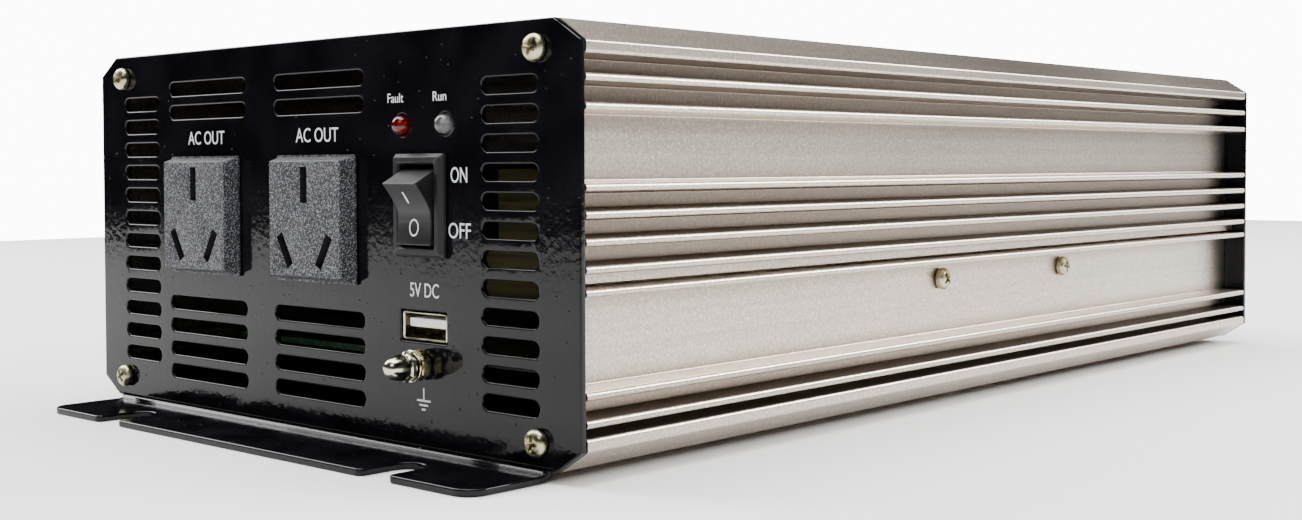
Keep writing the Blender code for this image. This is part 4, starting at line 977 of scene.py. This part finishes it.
def make_switch():
    """Switch housing with a raised bezel, and a dished rocker; make_switch_marks marks it I and O."""
    loops = []
    for (wide, tall), grown, radius, y in (
            (SWITCH_BODY, 0, 0.0006, SWITCH_DEPTH), (SWITCH_BODY, 0, 0.0006, -GAP),
            (SWITCH_BEZEL, 0, 0.0006, -GAP), (SWITCH_BEZEL, 0, 0.0006, -0.0009),
            (SWITCH_BEZEL, -0.0014, 0.0005, -SWITCH_PROUD),
            (SWITCH_WINDOW, 0.0008, 0.0003, -SWITCH_PROUD),
            (SWITCH_WINDOW, 0, 0.0003, -SWITCH_PROUD + 0.0005),
            (SWITCH_WINDOW, 0, 0.0003, SWITCH_CAVITY)):
        loops.append((rounded_rect(wide + grown, tall + grown, radius), y))
    housing = piece("switch_bezel", placed(stacked(loops), at(CONTROL_X, -FACE_Y, SWITCH_Z)),
                    SATIN_BLACK, angle=20)
    soften(housing, 0.00012, 2)
    stands_for(housing, "inverter", "satin_black_plastic", "switch_housing")

    profile = []
    for i in range(-12, 13):
        share = i / 12
        profile.append((-rocker_depth(share), ROCKER_END[1] * share))
    profile += [(ROCKER_VALLEY / 8, ROCKER_BACK), (ROCKER_VALLEY, ROCKER_BACK / 2)]
    profile += [(ROCKER_VALLEY, -ROCKER_BACK / 2), (ROCKER_VALLEY / 8, -ROCKER_BACK)]
    body = skin([[(x, y, z) for y, z in profile] for x in (-ROCKER_HALF, ROCKER_HALF)])
    rocker = piece("rocker_cap", placed(body, rocker_place()), SATIN_BLACK, angle=25)
    soften(rocker, 0.00022, 3, 25)
    stands_for(rocker, "switch_rocker", "satin_black_plastic", "switch_rocker")


def make_switch_marks():
    """Printed bar above the axle and ring below it."""
    bar = rounded_rect(0.00042, 0.0027, 0.0002, -0.0004, 0.0031, 2)
    rocker_mark(bar, [], "rocker_bar_mark")
    outer = [(x, -0.0032 + z * 1.15) for x, z in circle(0.00145, 28)]
    inner = [(x, -0.0032 + z * 1.2) for x, z in circle(0.00112, 28)]
    rocker_mark(outer, [inner], "rocker_ring_mark")


# ---- indicator lamps
LED_PROUD = 0.0022


def make_leds():
    """Clear resin domes with a wider flange behind the panel, over a metal cup."""
    for name, x, mat, slot in (("alarm_led", LED_X[0], RED_LENS, "red_lens"),
                               ("power_led", LED_X[1], CLEAR_LENS, "clear_lens")):
        spot = at(x, -FACE_Y, LED_Z)
        back = PANEL_THICK + GAP
        straight = LED_PROUD - LED_RADIUS
        profile = [(0.0002, back + 0.0060), (0.0024, back + 0.0060), (0.0025, back + 0.0058)]
        profile += [(0.0025, back), (LED_RADIUS, back), (LED_RADIUS, -straight)]
        for i in range(1, 10):
            angle = math.pi / 2 * i / 10
            profile.append((LED_RADIUS * math.cos(angle), -straight - LED_RADIUS * math.sin(angle)))
        profile.append((0.0001, -LED_PROUD))
        fitted(f"{name}_dome", turned(profile, 40), spot, mat, "inverter", slot, name)
        # The cup takes the dark painted-shade plating.
        cup = [(0.0010, 0.0030), (0.0012, 0.0004), (0.0011, 0.0002), (0.0004, 0.0012), (0.0002, 0.0012)]
        fitted(f"{name}_cup", turned(cup, 24), spot, CUP_PAINTED_SHADE, "inverter", "nickel_plate")


# ---- charging socket
USB_SHELL = (0.0135, 0.0057)
USB_WALL = 0.0004
USB_DEPTH = 0.0140


def make_usb():
    """Folded metal shell with a lip, a tongue and its four contacts."""
    spot = at(CONTROL_X, -FACE_Y, USB_Z)
    wide, tall = USB_SHELL
    outer = rounded_rect(wide, tall, 0.0004)
    inner = rounded_rect(wide - 2 * USB_WALL, tall - 2 * USB_WALL, 0.0002)
    lip = rounded_rect(wide - USB_WALL, tall - USB_WALL, 0.0003)
    loops = [(outer, USB_DEPTH), (outer, GAP + 0.0001), (lip, GAP), (inner, 0.0006)]
    loops += [(inner, USB_DEPTH - 0.0020)]
    shell = piece("usb_socket_shell", placed(stacked(loops), spot), NICKEL)
    soften(shell, 0.00005, 1)
    stands_for(shell, "inverter", "nickel_plate", "usb_shell")
    low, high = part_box("usb_tongue")
    middle = (low + high) / 2
    size = high - low
    tongue = sheet(rounded_rect(size.x, size.z, 0.0003), [], size.y, 0.00015)
    tongue = piece("usb_socket_tongue", placed(tongue, at(middle.x, low.y, middle.z)), WHITE_PLASTIC)
    even_shading(tongue)
    stands_for(tongue, "inverter", "white_plastic", "usb_tongue")
    for k in range(4):
        x = middle.x + (k - 1.5) * 0.0024
        strip = prism(rounded_rect(0.0012, 0.00016, 0.00005, x, low.z - 0.00006), low.y + 0.0008,
                      high.y - 0.001)
        contact = piece(f"usb_contact_{k + 1}", strip, BRASS)
        stands_for(contact, "inverter", "brass")


# ---- nuts, washers and studs
def hexagon(across, count=48):
    """Hexagon as (x, z) points, with a point at each corner."""
    points = []
    for i in range(count):
        angle = 2 * math.pi * i / count
        off = (angle + math.pi / 6) % (math.pi / 3) - math.pi / 6
        radius = across / 2 / math.cos(off)
        points.append((radius * math.cos(angle), radius * math.sin(angle)))
    return points


def kept_round(outline, radius):
    """Outline whose points stay within a radius, as a chamfered nut's end is."""
    result = []
    for x, z in outline:
        size = math.hypot(x, z)
        share = min(1.0, radius / size)
        result.append((x * share, z * share))
    return result


def hex_nut(across, thick, bore, ends=(True, True)):
    """Hexagon nut from y = 0 to y = -thick, chamfered at its ends and round its bore."""
    outline = hexagon(across)
    chamfer = across * 0.06
    flat = kept_round(outline, across * 0.485)
    ring = circle(bore, 48)
    mouth = circle(bore * 1.12, 48)
    loops = [(ring, -bore * 0.12), (mouth, 0.0)]
    loops += [(flat, 0.0), (outline, -chamfer)] if ends[0] else [(outline, 0.0)]
    if ends[1]:
        loops += [(outline, -thick + chamfer), (flat, -thick)]
    else:
        loops += [(outline, -thick)]
    loops += [(mouth, -thick), (ring, -thick + bore * 0.12)]
    return stacked(loops, True)


def round_washer(radius, thick, bore):
    """Washer from y = 0 to y = -thick with soft edges."""
    soft = thick * 0.22
    profile = [(bore, -soft), (bore + soft, 0.0), (radius - soft, 0.0), (radius, -soft)]
    profile += [(radius, -thick + soft), (radius - soft, -thick), (bore + soft, -thick)]
    profile += [(bore, -thick + soft)]
    return turned(profile, 48, True)


def threaded_rod(radius, pitch, start, end, count=24):
    """Rod along Y with a helical thread, from y = start down to y = end, chamfered at the end."""
    depth = pitch * 0.55
    steps = max(4, int(round((start - end) / pitch * 6)))
    loops = []
    for i in range(steps + 1):
        y = start + (end - start) * i / steps
        fade = min(1.0, (steps - i) / 4)
        loop = []
        for k in range(count):
            turn = k / count
            phase = (y / pitch + turn) % 1.0
            wave = abs(2 * phase - 1)
            size = radius - depth * (1 - wave) * min(1.0, i / 3) - depth * (1 - fade)
            loop.append((size * math.cos(2 * math.pi * turn), y, size * math.sin(2 * math.pi * turn)))
        loops.append(loop)
    return skin(loops)


NUT_ACROSS = 0.0055
NUT_THICK = 0.0024
THREAD_BORE = 0.0018


def make_earth_terminal():
    """Yellow hexagon nut, washer and domed cap nut on the earth stud."""
    def spot(node):
        return at(CONTROL_X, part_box(node)[1].y, EARTH_Z)
    fitted("earth_nut", hex_nut(NUT_ACROSS, NUT_THICK, THREAD_BORE), spot("earth_hex_nut"), ZINC,
           "inverter", "yellow_zinc", "earth_hex_nut", angle=25)
    fitted("earth_washer_ring", round_washer(0.0033, 0.0006, THREAD_BORE), spot("earth_washer"),
           NICKEL, "earth_washer", "nickel_plate", "earth_washer")
    outline = hexagon(NUT_ACROSS)
    flat = kept_round(outline, NUT_ACROSS * 0.485)
    brow = kept_round(outline, NUT_ACROSS * 0.47)
    bore = circle(THREAD_BORE, 48)
    hex_high = 0.0014
    height = 0.0060
    dome = NUT_ACROSS / 2
    loops = [(circle(THREAD_BORE * 0.05, 48), -0.0044), (bore, -0.0044), (bore, 0.0), (flat, 0.0)]
    loops += [(outline, -0.0003), (outline, -hex_high + 0.0003), (brow, -hex_high)]
    loops += [(circle(dome * 0.93, 48), -hex_high - 0.0001)]
    rise = height - hex_high - 0.0001
    for i in range(1, 14):
        angle = math.pi / 2 * i / 14
        radius = dome * 0.97 * math.cos(angle) ** 0.75
        loops.append((circle(radius, 48), -hex_high - 0.0001 - rise * math.sin(angle)))
    loops.append((circle(dome * 0.03, 48), -height))
    fitted("earth_cap", stacked(loops), spot("earth_cap_nut"), NICKEL, "earth_cap_nut", "nickel_plate",
           "earth_cap_nut", angle=25)
    low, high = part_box("earth_stud")
    rod = threaded_rod(0.0015, 0.0005, 0.0, low.y - high.y + 0.002)
    head = [(0.0002, 0.0), (0.0022, 0.0), (0.0027, -0.0006), (0.0027, -0.0020), (0.0015, -0.0020)]
    head += [(0.0015, -0.0036), (0.0002, -0.0036)]
    fitted("earth_stud_head", turned(head), spot("earth_stud"), ZINC, "inverter", "yellow_zinc")
    fitted("earth_stud_thread", rod, at(CONTROL_X, high.y - 0.0020, EARTH_Z), ZINC, "inverter",
           "yellow_zinc", "earth_stud")


def make_terminals():
    """Battery terminals: moulded insulator, washer, chamfered nut and threaded stud."""
    for pole, slot, mat in (("positive", "red_plastic", RED_PLASTIC),
                            ("negative", "black_plastic", BLACK_PLASTIC)):
        z = TERMINAL_Z[pole]
        turn = math.pi
        bore = 0.0033
        inside = PANEL_THICK + 0.0030
        profile = [(bore, inside), (0.0050, inside), (0.0050, -GAP), (0.0088, -GAP)]
        profile += [(0.0090, -0.0006), (0.0090, -0.0030), (0.0087, -0.0036), (0.0081, -0.0040)]
        profile += [(0.0066, -0.0040), (0.0064, -0.0039), (bore, -0.0039)]
        fitted(f"{pole}_insulator", turned(profile, 48, True), at(0, FACE_Y, z, turn), mat,
               "inverter", slot, f"terminal_insulator_{pole}")
        low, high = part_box(f"terminal_washer_{pole}")
        fitted(f"{pole}_washer_ring", round_washer(0.0060, 0.0012, bore), at(0, low.y, z, turn),
               NICKEL, f"{pole}_washer", "nickel_plate", f"terminal_washer_{pole}")
        low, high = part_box(f"terminal_nut_{pole}")
        fitted(f"{pole}_hex_nut", hex_nut(0.0100, high.y - low.y, bore), at(0, low.y, z, turn),
               BRASS, f"{pole}_nut", "brass", f"terminal_nut_{pole}", angle=25)
        low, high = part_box(f"terminal_stud_{pole}")
        neck = [(0.0002, 0.0), (0.0045, 0.0), (0.0050, -0.0005), (0.0050, -0.0030), (0.0030, -0.0030)]
        neck += [(0.0030, -0.0060), (0.0002, -0.0060)]
        spot = at(0, low.y, z, turn)
        fitted(f"{pole}_stud_head", turned(neck), spot, BRASS, "inverter", "brass")
        rod = threaded_rod(0.0030, 0.0010, -0.0030, low.y - high.y)
        fitted(f"{pole}_stud_thread", rod, spot, BRASS, "inverter", "brass",
               f"terminal_stud_{pole}")


# ---- printed labels
LABEL_THICK = 0.00004


def printed(name, text, x, z, width, height):
    """White lettering on the front panel, fitted to a width and height about its middle."""
    curve = bpy.data.curves.new(name, "FONT")
    curve.body = text
    curve.align_x = "CENTER"
    curve.resolution_u = 4
    obj = bpy.data.objects.new(name, curve)
    bpy.context.scene.collection.objects.link(obj)
    bpy.context.view_layer.update()
    mesh = bpy.data.meshes.new_from_object(obj.evaluated_get(bpy.context.evaluated_depsgraph_get()))
    bpy.data.objects.remove(obj, do_unlink=True)
    bm = bmesh.new()
    bm.from_mesh(mesh)
    bpy.data.meshes.remove(mesh)
    bmesh.ops.remove_doubles(bm, verts=bm.verts[:], dist=1e-5)
    made = bmesh.ops.extrude_face_region(bm, geom=bm.faces[:], use_keep_orig=True)
    lifted = [item for item in made["geom"] if isinstance(item, bmesh.types.BMVert)]
    xs = [v.co.x for v in bm.verts]
    ys = [v.co.y for v in bm.verts]
    for vert in lifted:
        vert.co.z += 1.0
    for vert in bm.verts:
        across = (vert.co.x - (min(xs) + max(xs)) / 2) / (max(xs) - min(xs)) * width
        up = (vert.co.y - (min(ys) + max(ys)) / 2) / (max(ys) - min(ys)) * height
        depth = -FACE_Y - 0.00001 - vert.co.z * LABEL_THICK
        vert.co = (x + across, depth, z + up)
    label = piece(name, bm, WHITE_INK, smooth=False)
    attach(label, "inverter")


def make_labels():
    """Generic wording beside the controls, and the earth sign."""
    for side, x in zip(("left", "right"), OUTLET_X):
        printed(f"label_outlet_{side}", "AC OUT", x - 0.0001, 0.0663, 0.0150, 0.0031)
    printed("label_alarm", "Fault", LED_X[0] - 0.0020, 0.0734, 0.0050, 0.0019)
    printed("label_power", "Run", LED_X[1] - 0.0015, 0.0734, 0.0040, 0.0019)
    printed("label_on", "ON", 0.0511, 0.0577, 0.0048, 0.0031)
    printed("label_off", "OFF", 0.0512, 0.0467, 0.0065, 0.0031)
    printed("label_charging", "5V DC", CONTROL_X + 0.0004, 0.0344, 0.0088, 0.0029)
    stem = [(-0.0002, 0.0), (0.0002, 0.0), (0.0002, 0.0026), (-0.0002, 0.0026)]
    shapes = [stem] + [[(-w, -z), (w, -z), (w, -z + 0.0004), (-w, -z + 0.0004)]
                       for w, z in ((0.0021, 0.0002), (0.0013, 0.0011), (0.0006, 0.0020))]
    for k, shape in enumerate(shapes):
        bar = placed(prism(shape, -0.00001 - LABEL_THICK, -0.00001), at(CONTROL_X, -FACE_Y, 0.0120))
        sign = piece(f"earth_sign_{k + 1}", bar, WHITE_INK, smooth=False)
        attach(sign, "inverter")


# ---- carried-over pieces
def finish_inside():
    """Give every node of the frame that stays its own procedural finish."""
    finishes = {"main_board": BOARD, "transformer_core": FERRITE, "transformer_winding": TAPE,
                "clamp_bar": STEEL, "transistor": BLACK_PLASTIC, "input_capacitor": BLUE_SLEEVE,
                "bus_capacitor": BLUE_SLEEVE, "input_fuse": ORANGE_PLASTIC,
                "cable_positive": RED_SLEEVE, "cable_negative": BLACK_SLEEVE,
                "fan_frame": BLACK_PLASTIC, "fan_rotor": BLACK_PLASTIC}
    for name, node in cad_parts.items():
        for start, mat in finishes.items():
            if name.startswith(start):
                node.data.materials.clear()
                node.data.materials.append(mat)


# ---- floor, light and camera
def emitter(name, place, aim, size, power):
    """Soft box that shines from one place at another."""
    data = bpy.data.lights.new(name, "AREA")
    data.shape = "RECTANGLE"
    data.size, data.size_y = size
    data.energy = power
    obj = bpy.data.objects.new(name, data)
    obj.location = place
    obj.visible_camera = False
    way = Vector(aim) - Vector(place)
    obj.rotation_euler = way.to_track_quat("-Z", "Y").to_euler()
    bpy.context.scene.collection.objects.link(obj)


def make_stage():
    """Pale floor round the object, and a world that is white only as a backdrop."""
    bm = bmesh.new()
    outline = [(-0.95, -0.75), (0.95, -0.75), (0.95, 1.3), (-0.95, 1.3)]
    verts = [bm.verts.new((x, y, 0.0)) for x, y in outline]
    bm.faces.new(verts)
    mesh = bpy.data.meshes.new("floor")
    bm.to_mesh(mesh)
    bm.free()
    floor = bpy.data.objects.new("floor", mesh)
    bpy.context.scene.collection.objects.link(floor)
    paper = Finish("pale_paper", (0.93, 0.93, 0.925), 0.7)
    tooth = paper.noise(0.002, detail=3.0)
    paper.gloss(tooth, 0.6, 0.8)
    mesh.materials.append(paper.mat)

    world = bpy.data.worlds.new("studio")
    bpy.context.scene.world = world
    world.use_nodes = True
    nodes = world.node_tree.nodes
    link = world.node_tree.links.new
    room = nodes["Background"]
    backdrop = nodes.new("ShaderNodeBackground")
    for node, colour, strength in ((room, (0.012, 0.012, 0.013), 1.0), (backdrop, (1, 1, 1), 12.0)):
        node.inputs["Color"].default_value = (*colour, 1.0)
        node.inputs["Strength"].default_value = strength
    pick = nodes.new("ShaderNodeMixShader")
    link(nodes.new("ShaderNodeLightPath").outputs["Is Camera Ray"], pick.inputs["Fac"])
    link(room.outputs["Background"], pick.inputs[1])
    link(backdrop.outputs["Background"], pick.inputs[2])
    link(pick.outputs["Shader"], nodes["World Output"].inputs["Surface"])


def make_lights():
    """Wide soft box overhead, one high on the left, two behind on the right, a weak one in front."""
    emitter("overhead", (-0.1, 0.1, 1.6), (-0.1, 0.1, 0), (1.6, 1.6), 74)
    emitter("left_top", (-1.35, -0.35, 1.1), (0, -0.1, 0), (0.9, 1.2), 38)
    emitter("right_back", (1.05, 1.35, 0.95), (0.08, 0.05, 0.05), (1.4, 0.30), 60)
    emitter("far_right", (0.75, 2.0, 0.40), (0.08, 0.15, 0.05), (0.7, 0.35), 2.5)
    emitter("front_fill", (0.6, -1.3, 1.2), (0, -0.15, 0.04), (0.7, 0.5), 5)


def make_camera():
    """Low three-quarter view from the front right corner."""
    yaw, pitch, roll = 0.7515, -0.0285, -0.0042
    forward = Vector((-math.sin(yaw) * math.cos(pitch), math.cos(yaw) * math.cos(pitch),
                      math.sin(pitch)))
    right = Vector((math.cos(yaw), math.sin(yaw), 0.0))
    up = right.cross(forward)
    across = right * math.cos(roll) + up * math.sin(roll)
    above = up * math.cos(roll) - right * math.sin(roll)
    data = bpy.data.cameras.new("camera")
    data.lens = 43.70
    data.sensor_width = 36.0
    data.shift_x = 0.0431
    data.shift_y = -0.0379
    data.clip_start = 0.01
    camera = bpy.data.objects.new("camera", data)
    turn = Matrix((across, above, -forward)).transposed().to_4x4()
    camera.matrix_world = Matrix.Translation((0.28296, -0.36852, 0.05942)) @ turn
    bpy.context.scene.collection.objects.link(camera)
    bpy.context.scene.camera = camera


# ---- build
make_case()
make_panels()
make_screws()
make_outlets()
make_switch()
make_switch_marks()
make_leds()
make_usb()
make_earth_terminal()
make_terminals()
make_labels()
finish_inside()
make_stage()
make_lights()
make_camera()
